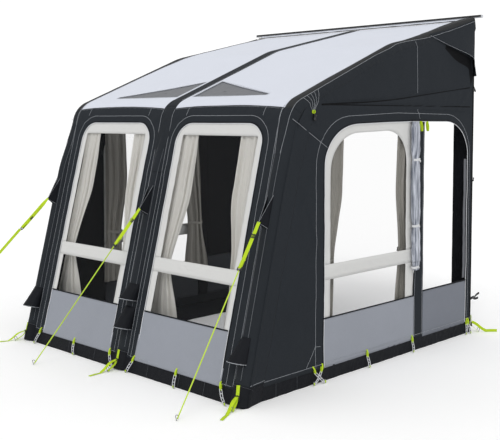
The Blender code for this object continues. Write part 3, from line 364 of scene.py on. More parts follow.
def skin(x, s, n=0.0):
    # point of the front and roof skin at distance s along the profile, n outwards
    x, s, n = np.broadcast_arrays(np.asarray(x, float), s, n)
    y, z, angle = (np.interp(s, table[0], column) for column in table[1:])
    return np.stack([x, y - np.sin(angle) * n + footLine, z + np.cos(angle) * n], -1)


def skinAt(line, n=0.0):
    return skin(line[..., 0], line[..., 1], n)


def sideSkin(sign, y, z, n=0.0):
    # point of a side wall, n outwards
    y, z, n = np.broadcast_arrays(np.asarray(y, float), z, n)
    return np.stack([sign * (awning["halfWidth"] + n), y + footLine, z], -1)


def sideAt(sign, line, n=0.0):
    return sideSkin(sign, line[..., 0], line[..., 1], n)


def yAt(s):
    return np.interp(s, table[0], table[1])


def profileAt(s, inwards=0.0):
    # (y, z) on the profile as rows
    y, z, angle = (np.interp(s, table[0], column) for column in table[1:])
    return np.stack([y + np.sin(angle) * inwards, z - np.cos(angle) * inwards], -1)


# Finishes
def colour(red, green, blue):
    # screen colour to linear light
    return tuple(((c / 255 + 0.055) / 1.055) ** 2.4 if c > 10 else c / 255 / 12.92 for c in (red, green, blue)) + (1.0,)


def addNode(tree, kind, inputs=(), **settings):
    node = tree.nodes.new("ShaderNode" + kind)
    for key, value in settings.items():
        setattr(node, key, value)
    for key, value in dict(inputs).items():
        if isinstance(value, bpy.types.NodeSocket):
            tree.links.new(value, node.inputs[key])
        else:
            node.inputs[key].default_value = value
    return node


def newFinish(name, base, rough, **sockets):
    made = bpy.data.materials.new(name)
    made.use_nodes = True
    shader = made.node_tree.nodes["Principled BSDF"]
    for key, value in {"Base Color": base, "Roughness": rough, **sockets}.items():
        shader.inputs[key].default_value = value
    return made, made.node_tree, shader


def connect(tree, node, sockets):
    for key, value in sockets.items():
        tree.links.new(value, node.inputs[key])


def mixColour(tree, share, first, second):
    return addNode(tree, "Mix", {0: share, 6: first, 7: second}, data_type="RGBA").outputs[2]


def multiply(tree, first, second):
    return addNode(tree, "Math", {0: first, 1: second}, operation="MULTIPLY").outputs[0]


def mapRange(tree, value, low, high, toLow=0.0, toHigh=1.0):
    limits = {"Value": value, "From Min": low, "From Max": high, "To Min": toLow, "To Max": toHigh}
    return addNode(tree, "MapRange", limits).outputs[0]


def placeIn(tree, space, **mapped):
    # coordinates in the object or on the flat pattern, scaled or turned where asked
    place = addNode(tree, "TexCoord").outputs[space]
    return addNode(tree, "Mapping", {"Vector": place, **mapped}).outputs[0] if mapped else place


def noise(tree, scale, detail, place=None, **more):
    inputs = {"Vector": place or placeIn(tree, "Object"), "Scale": scale, "Detail": detail, **more}
    return addNode(tree, "TexNoise", inputs).outputs["Fac"]


def bump(tree, height, strength, distance, **more):
    return addNode(tree, "Bump", {"Height": height, "Strength": strength, "Distance": distance, **more}).outputs[0]


def shade(tone, factor, lift=0.0):
    return tuple(min(c * factor + lift, 1) for c in colour(*tone)[:3]) + (1.0,)


def clothFinish(name, tone, rough=0.8, thread=0.0011, weave=0.5, mottle=0.10, crumple=0.35, dust=0.0, gloss=0.2):
    # woven cloth: two crossed thread waves as fine bumps, soft creases, a slightly uneven tone and dust near the ground
    made, tree, shader = newFinish(name, colour(*tone), rough, **{"Specular IOR Level": gloss})
    wave = {"Vector": placeIn(tree, "UV"), "Scale": 0.314 / thread, "Distortion": 0.6, "Detail": 1.0}
    threads = multiply(tree, *(addNode(tree, "TexWave", wave, bands_direction=way).outputs["Fac"] for way in ("X", "Y")))
    broad = noise(tree, 3.2, 5.0, Roughness=0.6)
    folds = noise(tree, 7.0, 4.0, Roughness=0.55, Distortion=0.8)
    dark = shade(tone, 1 - 1.6 * mottle)
    tint = mixColour(tree, broad, dark, shade(tone, 1 + 1.6 * mottle))
    tint = mixColour(tree, multiply(tree, noise(tree, 260.0, 3.0), 0.35), tint, dark)
    if dust:
        height = addNode(tree, "SeparateXYZ", {0: placeIn(tree, "Object")}).outputs["Z"]
        low = mapRange(tree, height, 0.0, 0.35, dust, 0.0)
        tint = mixColour(tree, multiply(tree, low, broad), tint, colour(150, 145, 136))
    creased = bump(tree, folds, crumple, 0.02)
    connect(tree, shader, {"Base Color": tint, "Normal": bump(tree, threads, weave, thread * 0.35, Normal=creased)})
    return made


def stitchFinish(name, thread, ground):
    # thread that dips in and out of its cloth: light stitches 4 mm long with dark gaps
    made, tree, shader = newFinish(name, colour(*thread), 0.7)
    wave = {"Vector": placeIn(tree, "UV"), "Scale": 62.0}
    edge = mapRange(tree, addNode(tree, "TexWave", wave, bands_direction="Y").outputs["Fac"], 0.12, 0.3)
    tint = mixColour(tree, edge, colour(*ground), colour(*thread))
    connect(tree, shader, {"Base Color": tint, "Normal": bump(tree, edge, 0.6, 0.0006)})
    return made


def filmFinish(name, tint, clear, haze, rough=0.06):
    # clear plastic film: mostly see-through, with a soft gloss and faint ripples
    made, tree, shader = newFinish(name, colour(*tint), rough, **{"Specular IOR Level": 0.5})
    connect(tree, shader, {"Normal": bump(tree, noise(tree, 5.0, 2.0), 0.25, 0.01)})
    through = addNode(tree, "BsdfTransparent", {"Color": (clear, clear, clear, 1.0)})
    mix = addNode(tree, "MixShader", {0: haze, 1: through.outputs[0], 2: shader.outputs[0]})
    connect(tree, tree.nodes["Material Output"], {"Surface": mix.outputs[0]})
    return made


def plasticFinish(name, tone, rough=0.45, grain=0.2, metallic=0.0, worn=0.08):
    # moulded or extruded surface: fine grain as bumps and slightly uneven tone and gloss
    made, tree, shader = newFinish(name, colour(*tone), rough, Metallic=metallic)
    broad = noise(tree, 24.0, 4.0)
    connect(tree, shader, {
        "Base Color": mixColour(tree, broad, colour(*tone), shade(tone, 1 + 2 * worn, worn * 0.02)),
        "Roughness": mapRange(tree, broad, 0.0, 1.0, rough - 0.08, rough + 0.08),
        "Normal": bump(tree, noise(tree, 700.0, 2.0), grain, 0.0003)})
    return made


wallCloth = clothFinish("charcoalCloth", (41, 45, 50), rough=0.78, mottle=0.07, dust=0.02, gloss=0.12)
sleeveCloth = clothFinish("sleeveCloth", (37, 41, 46), rough=0.7, mottle=0.08, crumple=0.6, dust=0.02, gloss=0.15)
bandCloth = clothFinish("bandCloth", (50, 51, 52), rough=0.7, mottle=0.06, gloss=0.15)
skirtCloth = clothFinish("skirtCloth", (24, 26, 31), rough=0.6, mottle=0.12, crumple=0.7, dust=0.01, gloss=0.12)
# near-black painted shade: the walls' inner faces as they fall in shadow inside the awning; the same finish draws the
# painted shadow lines of the gable creases, the painted shadow under the gable flaps and the dark rear edge binding
wallInside = clothFinish("wallInside", (20, 21, 23), mottle=0.08, gloss=0.08)
# dark inner face of the mudwalls: painted shade of the awning's inside
mudInsideShaded = clothFinish("mudwallInside", (58, 60, 64), mottle=0.08, gloss=0.1)
roofCloth = clothFinish("roofCloth", (222, 226, 236), rough=0.62, mottle=0.015, crumple=0.15)
frameCloth = clothFinish("windowFrameCloth", (219, 219, 217), rough=0.6, mottle=0.02, crumple=0.4)
mudCloth = clothFinish("mudwallCloth", (155, 159, 168), rough=0.75, mottle=0.04, crumple=0.3)
# the door's mudwall is the same grey cloth as the others, painted darker: painted shade by the doorway
shadedDoorMudCloth = clothFinish("doorMudwallClothShaded", (126, 130, 139), rough=0.75, mottle=0.08, crumple=0.3)
curtainCloth = clothFinish("curtainCloth", (226, 224, 218), rough=0.9, thread=0.0016, weave=0.9, mottle=0.05, crumple=0.3)
# a darker copy of the curtain cloth: painted shade for the side curtains, which stand in shadow
shadedCurtainCloth = clothFinish("sideCurtainCloth", (158, 155, 148), rough=0.9, thread=0.0016, weave=0.9, crumple=0.3)
limeCloth = clothFinish("limeWebbing", (202, 232, 44), rough=0.6, thread=0.0024, weave=1.0, mottle=0.06, crumple=0.0)
skylightFilm = clothFinish("skylightFilm", (104, 106, 111), rough=0.4, weave=0.1, mottle=0.03, crumple=0.2)
rollFilm = clothFinish("rolledDoorFilm", (168, 173, 184), rough=0.3, weave=0.05, mottle=0.25, crumple=1.0)
clearFilm = filmFinish("clearFilm", (235, 238, 242), clear=0.905, haze=0.010)
whitePiping = plasticFinish("whitePiping", (222, 224, 228), rough=0.4)
lightThread = stitchFinish("lightThread", (178, 182, 188), (60, 64, 70))
midThread = stitchFinish("midThread", (132, 136, 142), (50, 54, 60))
darkThread = stitchFinish("darkThread", (84, 88, 94), (36, 39, 44))
whiteTape = clothFinish("whiteTape", (225, 226, 228), rough=0.6, weave=0.6, crumple=0.3)
blackPlastic = plasticFinish("blackPlastic", (22, 23, 25), rough=0.4)
paleRubber = plasticFinish("paleRubber", (206, 208, 212), grain=0.3)
steel = plasticFinish("pegSteel", (120, 122, 126), rough=0.35, metallic=0.6)
railMetal = plasticFinish("railMetal", (168, 171, 176), rough=0.4, metallic=0.3, grain=0.1)
tubeFilm = plasticFinish("airTubeFilm", (178, 182, 188), rough=0.35, grain=0.1)

# painted highlights and painted shade: light and dark streaks down the rolled film, for the light caught in its folds
tree = rollFilm.node_tree
gleamShadeStreaks = noise(tree, 1.0, 4.0, placeIn(tree, "Object", Scale=(60, 60, 5)))
gleamShadeTint = mixColour(tree, mapRange(tree, gleamShadeStreaks, 0.36, 0.64), colour(96, 102, 116), colour(206, 210, 220))
connect(tree, tree.nodes["Principled BSDF"], {"Base Color": gleamShadeTint})

# twisted strands of the guy lines
limeCord, tree, shader = newFinish("limeCord", colour(206, 236, 60), 0.55)
twisted = {"Vector": placeIn(tree, "UV", Rotation=(0, 0, 0.7)), "Scale": 90.0, "Distortion": 0.4}
strands = addNode(tree, "TexWave", twisted).outputs["Fac"]
strandTint = mixColour(tree, strands, colour(188, 222, 36), colour(222, 248, 84))
connect(tree, shader, {"Base Color": strandTint, "Normal": bump(tree, strands, 0.8, 0.0008)})
print("finishes made")

# Guy lines: each runs from its buckle to its peg along these points; the webbing goes to the gusset
guys = {
    "routes": {
        "left": [(-1.281, 0.018, 0.866), (-1.426, -0.186, 0.580), (-1.571, -0.390, 0.292), (-1.716, -0.594, 0.010)],
        "centre": [(-0.123, 0.058, 0.844), (-0.254, -0.080, 0.565), (-0.385, -0.218, 0.286), (-0.516, -0.356, 0.010)],
        "right": [(1.140, 0.036, 0.827), (1.120, -0.112, 0.554), (1.101, -0.261, 0.280), (1.081, -0.409, 0.010)],
    },
    "radius": 0.004,
    "stopAt": {"left": 0.62, "centre": 0.30, "right": 0.28},
    "web": (0.028, 0.0022),
    "height": 1.105,
    "reach": 0.060,
    "gusset": (1.060, 1.262),
    "buckle": (0.034, 0.022, 0.006),
    "doubled": {"left": 0.36},
    "twist": {"left": 1.1, "centre": 0.3, "right": 0.1},
}
beamX = {"left": -awning["beamX"], "centre": 0.0, "right": awning["beamX"]}


def gussetTip(name):
    # ahead of the beam's front, level with the guy height
    y = guys["height"] * math.tan(wallLean) - (awning["beamDepth"] + guys["reach"]) / math.cos(wallLean)
    return np.array((beamX[name], footLine + y, guys["height"]))


def ladderLock(centre, ahead, across, size):
    # two-bar buckle: a rounded frame with a middle bar, swept round its outline
    width, length, thick = size
    ahead, across = unit(ahead), unit(across)
    turn, flat = turns(32)[:, None], circle(thick / 2, 8)
    rim = centre + signedPower(np.cos(turn), 0.35) * across * width / 2
    rim = rim + signedPower(np.sin(turn), 0.35) * ahead * length / 2
    bar = np.stack([centre - across * width / 2, centre, centre + across * width / 2])
    bars = [sweep(bar + ahead * length * shift, flat * 0.8, np.cross(across, ahead)) for shift in (-0.18, 0.18)]
    return [sweep(rim, flat, np.cross(across, ahead), closed=True)] + bars


def pegHead(foot, pull, tall=0.030):
    # the part of a bent steel peg above the ground: a shaft that leans from the pull and a hook over the loop
    pull = unit(np.asarray(pull, float) * (1, 1, 0))
    top = foot - pull * tall * 0.25 + (0, 0, tall)
    bent = ((0.010, 0.004), (0.019, -0.004), (0.019, -0.014))
    hook = [foot, top, *(top + pull * out + (0, 0, rise) for out, rise in bent)]
    return [sweep(smoothLine(hook, 5), circle(0.0021, 8), np.cross(pull, (0, 0, 1)))]


for name, route in guys["routes"].items():
    knots = np.array(route) + (0, footLine, 0)
    centreLine = evenly(knots, count=34)
    start = gussetTip(name)
    reach = np.linalg.norm(knots[0] - start)
    ahead = unit(knots[0] - start)
    level = unit(np.cross(ahead, np.cross((1, 0, 0), ahead)))
    fold = np.cross(level, ahead)
    webEnd = start + ahead * (reach - guys["buckle"][1] * 0.55)
    web = stretches(([start - ahead * 0.006, start + ahead * 0.05], 4), ([start + ahead * 0.05, webEnd], 12))
    web = web + hump(np.linspace(0, 1, len(web)))[:, None] * fold * 0.0015
    strip = strap(*guys["web"])
    # the webbing turns from level at the gusset towards the wall
    twist = guys["twist"][name] * smoothStep(np.linspace(0, 3, len(web)))[:, None]
    parts = [sweep(web, strip, level * np.cos(twist) + fold * np.sin(twist))]
    if name in guys["doubled"]:
        run = evenly([start + ahead * (reach + 0.004), start + ahead * (reach + guys["doubled"][name])])
        parts.append(sweep(run - fold * 0.0065, strip * (0.75, 1), fold + level * 0.4))
    tail = stretches(([webEnd - ahead * 0.002, webEnd - ahead * 0.05], 4),
                     ([webEnd - ahead * 0.05, webEnd - ahead * 0.085 - (0, 0, 0.025)], 4))
    parts.append(sweep(tail - fold * guys["web"][1] * 1.3, strip * (0.95, 0.9), level))
    piece("guyWeb_" + name, parts, limeCloth, stands="guy_webbing_" + name)
    bars = []
    for at in (reach - guys["buckle"][1] / 2, reach * guys["stopAt"][name]):
        bars += ladderLock(start + ahead * at, ahead, level, guys["buckle"])
    piece("guyBuckle_" + name, bars, blackPlastic)
    cord = [sweep(centreLine, circle(guys["radius"]), (1, 0.3, 0))]
    line = piece("guyLine_" + name, cord, limeCord, stands="guy_line_" + name)
    pegFoot = knots[-1] * (1, 1, 0) - unit((knots[0] - knots[-1]) * (1, 1, 0)) * 0.004
    peg = piece("guyPeg_" + name, pegHead(pegFoot, knots[0] - knots[-1]), steel)
    float(runLength(centreLine)[-1])
print("guy lines made")

# What the front and side walls have alike: the distance between the points of a sewn line and its height on the
# cloth, the sections of zip tape, piping and binding, and how far a clear pane reaches behind its frame
trim = {
    "step": 0.012,
    "sewn": 0.0004,
    "zip": (0.010, 0.0022),
    "zipLift": 0.0002,
    "piping": (0.0022, 8),
    "pipingIn": 0.007,
    "binding": (0.009, 0.0030),
    "paneLap": 0.012,
    "mudLap": 0.010,
}


def sewnPoints(line):
    return evenly(line, trim["step"])


def paneSpans(wall):
    # lower and upper ends of the upper and the lower clear pane
    lap = trim["paneLap"]
    return (wall["barTop"] - lap, wall["clearTop"] + lap), (wall["mudTop"] - trim["mudLap"], wall["barBottom"] + lap)


# Front wall: dark panels round each window, from the skirt over the eave to where the roof starts
front = {
    "edge": 0.050,
    "cornerEdge": 1.110,
    "bottom": 0.088,
    "openInner": 0.142,
    "openOuter": 0.990,
    "openTop": 1.770,
    "openRadius": 0.150,
    "clearInner": 0.210,
    "clearOuter": 0.935,
    "clearTop": 1.680,
    "barTop": 0.810,
    "barBottom": 0.710,
    "mudTop": 0.430,
    "roofLine": 1.876,
    "bow": 0.026,
    "lap": 0.006,
    "counts": (60, 19, 40),
    "pulls": (((0.06, 1.84), (0.20, 1.72), 0.02), ((1.08, 1.84), (0.93, 1.72), 0.02),
              ((0.07, 1.50), (0.13, 1.25), 0.012), ((1.09, 1.40), (1.00, 1.10), 0.015)),
}


def frontPoint(line, n=0.0):
    # the stretched cloth pulls in a little between its seams and creases at the window corners
    x, s = line[..., 0], line[..., 1]
    low = 0.0030 * ripples(x, s, 11, 0.30) + 0.0012 * ripples(x, s, 12, 0.09)
    return skin(x, s, low + 0.004 * sum(crease(np.abs(x), s, *pull) for pull in front["pulls"]) + n)


def roofEdgeLine(u):
    # where the dark front cloth ends on the roof: higher between the beams
    return front["roofLine"] + front["bow"] * hump((u - front["edge"]) / (front["cornerEdge"] - front["edge"])) ** 0.7


def frontArch(out, low, radius=None):
    # the window opening's outline, moved outwards
    f = front
    radius = radius or f["openRadius"] + out
    return archLine(f["openInner"] - out, f["openOuter"] + out, low, f["openTop"] + out, radius, f["counts"])


frontSeams, frontPiping, zipTape = [], [], []
for name, sign in sides.items():
    f, flip = front, np.array((sign, 1.0))
    opening = frontArch(0, f["bottom"])
    outer = archLine(f["edge"], f["cornerEdge"], f["bottom"], f["roofLine"], None, f["counts"], corner=0.10)
    outer[:, 1] = np.where(outer[:, 1] > f["roofLine"] - 1e-6, roofEdgeLine(outer[:, 0]), outer[:, 1])
    grid = between(opening, outer, 12) * flip
    # the panel's back is painted shade, near black
    clothPiece("frontPanel_" + name, [sheetPart(frontPoint(grid), frontWay, grid)], wallCloth,
               [f"{name}_beam_sleeve", "centre_beam_sleeve"], thick=0.0035, inner=wallInside, stands="front_panel_" + name)

    # off-white window frame, a little below the dark cloth
    clear = archLine(f["clearInner"], f["clearOuter"], f["barTop"], f["clearTop"], 0.008, f["counts"])
    grids = [between(clear, frontArch(f["lap"], f["barTop"]), 6)]
    inner, outer, low = f["openInner"] - f["lap"], f["openOuter"] + f["lap"], f["mudTop"] - 0.02
    for x0, x1, s0, s1 in ((inner, outer, f["barBottom"], f["barTop"]), (inner, f["clearInner"], low, f["barBottom"]),
                           (f["clearOuter"], outer, low, f["barBottom"])):
        grids.append(gridOf(x0, x1, s0, s1, max(int((x1 - x0) / 0.02), 4), max(int((s1 - s0) / 0.02), 3)))
    sheets = []
    for grid in grids:
        grid = grid * flip
        sheets.append(sheetPart(frontPoint(grid, 0.0016 * gridRipples(grid, 21, 0.10, 2.5) - 0.0036), frontWay, grid))
    clothPiece("frontWindowFrame_" + name, sheets, frameCloth, ["front_panel_" + name],
               thick=0.002, stands="front_window_frame_" + name)

    # clear panes behind the frame, upper and lower
    panes = []
    for s0, s1 in paneSpans(f):
        grid = gridOf(f["clearInner"] - trim["paneLap"], f["clearOuter"] + trim["paneLap"], s0, s1, 30, 30)
        buckle = 0.0020 * gridRipples(grid, 31, 0.28) * hump((grid[..., 0] - 0.2) / 0.74)
        panes.append(sheetPart(skinAt(grid * flip, buckle - 0.0075), frontWay, grid * flip))
    piece("frontFilm_" + name, panes, clearFilm, stands="front_film_" + name)

    # grey mudwall that flares a little at the ground
    grid = gridOf(f["openInner"] - 0.004, f["openOuter"] + 0.004, f["bottom"], f["mudTop"], 70, 30)
    x, s = grid[..., 0], grid[..., 1]
    share = (s - f["bottom"]) / (f["mudTop"] - f["bottom"])
    flare = 0.006 * (1 - share) ** 2 + 0.0030 * ripples(x + 0.6 * s, s * 0.4, 41, 0.22) * hump(share) ** 0.5
    # the mudwall's back is painted shade
    clothPiece("frontMudwall_" + name, [sheetPart(skinAt(grid * flip, flare - 0.001), frontWay, grid * flip)], mudCloth,
               ["front_panel_" + name], thick=0.003, inner=mudInsideShaded, stands="front_mudwall_" + name)

    # zip tape, piping and sewn lines round the opening
    edge = sewnPoints(opening) * flip
    flatWay = np.cross(np.gradient(frontPoint(edge), axis=0), frontWay)
    zipTape.append(sweep(frontPoint(edge, trim["zipLift"]), strap(*trim["zip"]), flatWay))
    inside = sewnPoints(frontArch(-trim["pipingIn"], f["bottom"] + 0.01)) * flip
    frontPiping.append(sweep(frontPoint(inside, 0.0008), circle(*trim["piping"]), frontWay))
    sewn = [(frontArch(0.048, 0.10, f["openRadius"] + 0.045), trim["step"])]
    sewn += [([(x, f["openTop"] + 0.050), (x, f["roofLine"] + 0.010)], trim["step"]) for x in (0.21, 0.95)]
    sewn += [([(x, f["bottom"] + 0.02), (x, f["roofLine"])], 0.02) for x in (f["edge"] + 0.010, f["cornerEdge"] - 0.012)]
    for line, step in sewn:
        seam(frontSeams, frontPoint(evenly(line, step) * flip, trim["sewn"]))
    binding = evenly([(f["openInner"], f["mudTop"]), (f["openOuter"], f["mudTop"])]) * flip
    zipTape.append(sweep(skinAt(binding, 0.0010), strap(*trim["binding"]), (0, 0.25, 0.97)))
piece("frontSeams", frontSeams, lightThread)
piece("frontPiping", frontPiping, whitePiping)
piece("frontZipTape", zipTape, skirtCloth)
print("front wall made")

# Beams: round sleeves that sink behind the skin towards the eave, with valve hoods and guy gussets.
# A hood has its beam, its mouth's height, its length and the way that it is turned
hoods = (("left", 0.260, 0.160, 0.0), ("centre", 0.280, 0.160, 0.0), ("centre", 0.480, 0.120, 0.0),
         ("right", 0.255, 0.165, -0.40))
cowl = {"radius": 0.0605, "standOff": 0.075, "halfTurn": math.radians(58), "crumple": 0.0020}


def beamAxis(name, s):
    # centre line of a beam: its depth and its place across change smoothly as it sinks
    sunk = smoothStep((s - awning["sinkStart"]) / (eaveStart - awning["sinkStart"]))
    inwards = awning["beamDepth"] + (awning["roofBeamDepth"] - awning["beamDepth"]) * sunk
    x = beamX[name] + (math.copysign(awning["roofBeamX"], beamX[name]) - beamX[name] if name != "centre" else 0) * sunk
    return x, inwards


def onBeam(name, s, turn, radius):
    # point on a beam at angle turn from its front, towards +X
    x, inwards = beamAxis(name, s)
    return skin(x + radius * np.sin(turn), s, radius * np.cos(turn) - inwards)


beamSeams, hoodParts, hoodSeams = [], [], []
for name in beamX:
    s = np.concatenate([np.linspace(0.0, 1.4, 110), np.linspace(1.4, 2.3, 90)[1:], np.linspace(2.3, roofEnd, 80)[1:]])
    S, T = np.meshgrid(s, np.linspace(-math.pi, math.pi, 41)[:-1], indexing="ij")
    quilt = 0.0012 * ripples(T * 0.06 * 3, S * 0.5, 51, 0.16) + 0.0008 * ripples(T * 0.06, S, 52, 0.05)
    quilt = quilt + 0.0030 * np.clip(1 - S / 0.55, 0, 1) * ripples(T * 0.06, S, 53, 0.07)
    shell = onBeam(name, S, T, awning["beamRadius"] - 0.0008 + quilt)
    shell[..., 2] = np.maximum(shell[..., 2], 0.0008)
    shell[..., 1] = np.minimum(shell[..., 1], footLine + depth - 0.001)
    axis = skin(beamAxis(name, s)[0], s, -beamAxis(name, s)[1])
    tube = sheetPart(shell, axis, np.stack([T * 0.06, S], -1), wrapColumns=True)
    piece("beamSleeve_" + name, [tube], sleeveCloth, stands=name + "_beam_sleeve")
    outwards = np.sign(beamX[name])
    for turnAt in (-0.62 if outwards >= 0 else -0.32, 0.62 if outwards <= 0 else 0.32):
        line = np.linspace(0.16, eaveStart + 0.10, 90)
        seam(beamSeams, onBeam(name, line, turnAt, awning["beamRadius"] + 0.0006))
    # guy gusset: two plies that meet at the webbing
    root, tip = np.linspace(*guys["gusset"], 13) / math.cos(wallLean), gussetTip(name)
    spread = np.linspace(0, 1, 9)[:, None]
    for turnAt in (-0.42, 0.42):
        base = onBeam(name, root, turnAt, awning["beamRadius"] - 0.002)
        hoodParts.append(sheetPart(base[:, None, :] * (1 - spread) + (tip - (0, 0, 0.004)) * spread))
        for edge in (0, -1):
            top = onBeam(name, root[edge], turnAt, awning["beamRadius"] + 0.001)
            seam(hoodSeams, top * (1 - spread) + (tip + (0, -0.002, 0)) * spread, width=0.0020)
for name, mouth, length, towards in hoods:
    # cowl over a valve: hugs the beam at its sides and top, and stands off at its mouth
    drop, share = np.meshgrid(np.linspace(0, 1, 18), np.linspace(-0.5, 0.5, 33), indexing="ij")
    bulge = np.maximum(np.cos(math.pi * share), 0) ** 0.8
    crumple = cowl["crumple"] * ripples(share * 0.12, drop * 0.16, 61, 0.04) * drop
    radius = cowl["radius"] + cowl["standOff"] * drop * bulge + crumple
    wrap = towards + 2 * cowl["halfTurn"] * share
    hoodParts.append(sheetPart(onBeam(name, mouth + length * (1 - drop), wrap, radius), frontWay))
    seam(hoodSeams, onBeam(name, np.full(33, mouth + 0.003), wrap[-1], radius[-1] + 0.002), width=0.0045)
piece("hoodsAndGussets", hoodParts, skirtCloth, thick=0.002, offset=0.0)
piece("beamSeams", beamSeams, midThread)
piece("hoodSeams", hoodSeams, lightThread)
print("beams made")

# Side walls: dark cloth from the opening's edge out to the beam, the roof's corner and the rear edge
side = {
    "beamDepth": 0.0735,
    "openFront": 0.770,
    "openRear": 2.580,
    "openTop": 1.706,
    "openRadii": ((0.36, 0.27), (0.33, 0.27)),
    "stitchRadii": ((0.36, 0.32), (0.36, 0.32)),
    "topBow": ((1.05, 0.003), (1.50, 0.016), (1.80, 0.021), (2.30, 0.019)),
    "stitchBow": ((1.00, -0.012), (1.60, 0.0125), (2.20, 0.005)),
    "frameRear": 1.820,
    "clearFront": 0.842,
    "clearRear": 1.722,
    "clearTop": 1.640,
    "clearRadii": ((0.30, 0.25), (0.25, 0.22)),
    "barTop": 0.776,
    "barBottom": 0.674,
    "mudTop": 0.420,
    "stripFront": 1.834,
    "doorFront": 1.957,
    "doorRear": 2.576,
    "doorMudTop": 0.440,
    "valley": 0.010,
    "counts": (80, 40, 90),
    "creaseLines": (((0.74, 1.832), (1.60, 1.836), (2.60, 1.835)), ((0.74, 1.834), (1.50, 1.872), (2.60, 1.988))),
    "pulls": (((0.45, 1.74), (0.82, 1.58), 0.018), ((2.62, 1.98), (2.30, 1.72), 0.020),
              ((0.60, 1.20), (0.74, 0.80), 0.015), ((0.50, 1.10), (0.72, 1.45), 0.018)),
    "valleys": (((0.72, 1.832), (2.62, 1.835)), ((0.76, 1.838), (1.60, 1.885)), ((1.50, 1.878), (2.62, 1.990)),
                ((1.70, 1.80), (2.60, 1.79))),
}
cornerHalf, cornerDepth = 0.0604, awning["roofBeamDepth"]
gableEdge = evenly(profileAt(np.linspace(eaveEnd, roofEnd, 60), cornerDepth), count=60)


def sideRelief(y, z):
    # soft pulls between the seams, creases by the window corners, sharp valleys that cross the gable
    low = 0.0045 * ripples(y, z, 71, 0.42) + 0.0014 * ripples(y, z, 72, 0.11)
    pulls = sum(crease(y, z, *pull) for pull in side["pulls"])
    valleys = sum(crease(y, z, *ends, side["valley"]) for ends in side["valleys"])
    hollow = np.exp(-(((y - 2.35) / 0.22) ** 2) - ((z - 2.17) / 0.07) ** 2)
    return (low + 0.005 * pulls - 0.008 * valleys - 0.012 * hollow) * np.clip((depth - y) / 0.05, 0, 1)


def sidePoint(sign, line, n=0.0):
    return sideAt(sign, line, sideRelief(line[..., 0], line[..., 1]) + n)


def sideGrid(y0, y1, z0, z1, step=0.02):
    return gridOf(y0, y1, z0, z1, max(int((y1 - y0) / step), 4), max(int((z1 - z0) / step), 4))


def bowed(line, bow):
    # the side opening's top is a slack curve: bow gives its rise at places along the wall
    rise = np.interp(line[..., 0], *np.array(bow).T) * smoothStep((line[..., 1] - 1.25) / 0.35)
    return line + np.stack([rise * 0, rise], -1)


wallSeams, wallPiping, wallTape, creaseLines = [], [], [], []
openRadii, s = np.array(side["openRadii"]), side
arch = bowed(archLine(s["openFront"], s["openRear"], bottom, s["openTop"], openRadii, s["counts"]), s["topBow"])
frontEdge = profileAt(np.linspace(0.02, eaveStart, 60), s["beamDepth"])
frontEdge = frontEdge[frontEdge[:, 1] > bottom]
frontEdge = np.concatenate([[(np.interp(bottom, frontEdge[:, 1], frontEdge[:, 0]), bottom)], frontEdge])
rearEdge, gableTop = depth - 0.0008, gableEdge[-1, 1]
up, turn, over = s["counts"]
rim = stretches((frontEdge, up), (np.concatenate([frontEdge[-1:], gableEdge[:6]]), turn), (gableEdge[5:], over),
                ([gableEdge[-1], (rearEdge, gableTop - 0.01), (rearEdge, 1.75)], turn),
                ([(rearEdge, 1.75), (rearEdge, bottom)], up))
frameFront, frameTop = s["openFront"] - front["lap"], s["openTop"] + front["lap"]
frameInner = archLine(s["clearFront"], s["clearRear"], s["barTop"], s["clearTop"], s["clearRadii"], (40, 15, 30))
arc = np.linspace(0, math.pi / 2, 15)
level, rise = openRadii[0] + front["lap"]
corner = np.stack([frameFront + level * (1 - np.cos(arc)), frameTop - rise + rise * np.sin(arc)], 1)
strapTop, squareEnd = (s["frameRear"] - 0.10, frameTop), (s["frameRear"], s["clearTop"] - 0.19)
frameOuter = stretches(([(frameFront, s["barTop"]), corner[0]], 40), (corner, 15), ([corner[-1], strapTop], 30),
                       ([strapTop, (s["frameRear"], frameTop), squareEnd], 15),
                       ([squareEnd, (s["frameRear"], s["barTop"])], 40))
frameGrids = [bowed(between(frameInner, frameOuter, 7), s["topBow"]),
              sideGrid(frameFront, s["frameRear"], s["barBottom"], s["barTop"]),
              sideGrid(frameFront, s["clearFront"], s["mudTop"] - 0.02, s["barBottom"]),
              sideGrid(s["clearRear"], s["frameRear"], s["mudTop"] - 0.02, s["barBottom"])]
stitch = archLine(s["openFront"] - 0.080, s["openRear"] + 0.025, 0.10, s["openTop"] + 0.064, s["stitchRadii"], s["counts"])
sewn = [bowed(stitch, s["stitchBow"]), [(1.855, 1.930), (1.840, 2.270), (1.812, 2.305)], [(1.885, 1.740), (1.855, 1.810)],
        [(0.45, 1.74), (0.80, 1.55)], [(0.592, 0.122), (0.690, 0.245)], [(0.690, 0.245), (0.742, 0.238)],
        [(0.11, 0.118), (depth - 0.005, 0.118)], [(depth - 0.016, bottom + 0.02), (depth - 0.016, gableTop - 0.03)]]
sewnOnStrip = [[(y, bottom + 0.02), (y, s["openTop"] - 0.01)] for y in (s["stripFront"] + 0.012, s["doorFront"] - 0.012)]
